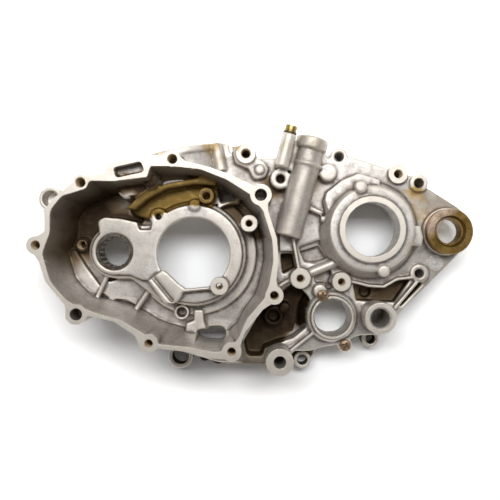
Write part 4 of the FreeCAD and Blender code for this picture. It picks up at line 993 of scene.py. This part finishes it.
low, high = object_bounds()
table_place = (CAMERA_PLACE[0], CAMERA_PLACE[1], low.z - TABLE_GAP)
bpy.ops.mesh.primitive_plane_add(size=TABLE_SIZE, location=table_place)
table = bpy.context.object
table.name = "table"
paint, tree, surface = new_material("table_paint", (0.8, 0.8, 0.8), 0.0, 0.9)
seen = tree.nodes.new("ShaderNodeBsdfDiffuse")
place = tree.nodes.new("ShaderNodeTexCoord")
oval = tree.nodes.new("ShaderNodeMapping")
oval.vector_type = "VECTOR"
oval.inputs["Scale"].default_value = (1 / OVAL[0], 1 / OVAL[1], 0)
tree.links.new(place.outputs["Object"], oval.inputs["Vector"])
away = tree.nodes.new("ShaderNodeVectorMath")
away.operation = "LENGTH"
tree.links.new(oval.outputs["Vector"], away.inputs[0])
fade = remap(tree, away.outputs["Value"], FADE_FROM, FADE_TO, 0.0, 1.0)
tree.links.new(blend(tree, fade, SHADED_PAPER_NEAR, PAPER_FAR), seen.inputs["Color"])
choice = tree.nodes.new("ShaderNodeMixShader")
tree.links.new(background_rays(tree), choice.inputs["Fac"])
tree.links.new(surface.outputs["BSDF"], choice.inputs[1])
tree.links.new(seen.outputs["BSDF"], choice.inputs[2])
tree.links.new(choice.outputs["Shader"], tree.nodes["Material Output"].inputs["Surface"])
table.data.materials.append(paint)
table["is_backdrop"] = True
print("table at", round(table_place[2] / MM, 2), "mm")

# %% Room
CEILING, WALLS = (0.13, 0.125, 0.12), (1, 1, 1)
WALL_TOP, CEILING_EDGE = 0.25, 0.55
world = bpy.data.worlds.new("studio")
world.use_nodes = True
bpy.context.scene.world = world
tree = world.node_tree
room = tree.nodes["Background"]
room.inputs["Color"].default_value = (*CEILING, 1)
backdrop = tree.nodes.new("ShaderNodeBackground")
direction = tree.nodes.new("ShaderNodeTexCoord")
height = tree.nodes.new("ShaderNodeSeparateXYZ")
tree.links.new(direction.outputs["Generated"], height.inputs[0])
overhead = remap(tree, height.outputs["Z"], WALL_TOP, CEILING_EDGE, 0.0, 1.0)
tree.links.new(blend(tree, overhead, WALLS, CEILING), backdrop.inputs["Color"])
choice = tree.nodes.new("ShaderNodeMixShader")
tree.links.new(background_rays(tree), choice.inputs["Fac"])
tree.links.new(room.outputs["Background"], choice.inputs[1])
tree.links.new(backdrop.outputs["Background"], choice.inputs[2])
tree.links.new(choice.outputs["Shader"], tree.nodes["World Output"].inputs["Surface"])
print("room has", len(tree.nodes), "nodes")

# %% Softbox
SOFTBOX_PLACE = (0.06, 0.41, 0.94)
SOFTBOX_SIZE = (1.00, 0.42)
SOFTBOX_POWER = 10.4

box = bpy.data.lights.new("softbox", "AREA")
box.shape = "RECTANGLE"
box.size, box.size_y = SOFTBOX_SIZE
box.energy = SOFTBOX_POWER
softbox = bpy.data.objects.new("softbox", box)
softbox.location = SOFTBOX_PLACE
aim = Vector((SOFTBOX_PLACE[0], CAMERA_PLACE[1], 0)) - softbox.location
softbox.rotation_euler = (math.atan2(aim.y, aim.z) + math.pi, 0, 0)
bpy.context.scene.collection.objects.link(softbox)
print("softbox faces", [round(v, 2) for v in softbox.rotation_euler.to_matrix() @ Vector((0, 0, -1))])

# %% [markdown]
# The plain Standard view shows colours as they are written. The object's box is written before
# and after, to show that the skin keeps the solid's size.

# %% Finish
bpy.context.scene.view_settings.view_transform = "Standard"
FINAL_BOX = [list(corner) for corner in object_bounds()]
print("box", [[round(v, 4) for v in corner] for corner in LOADED_BOX + FINAL_BOX])
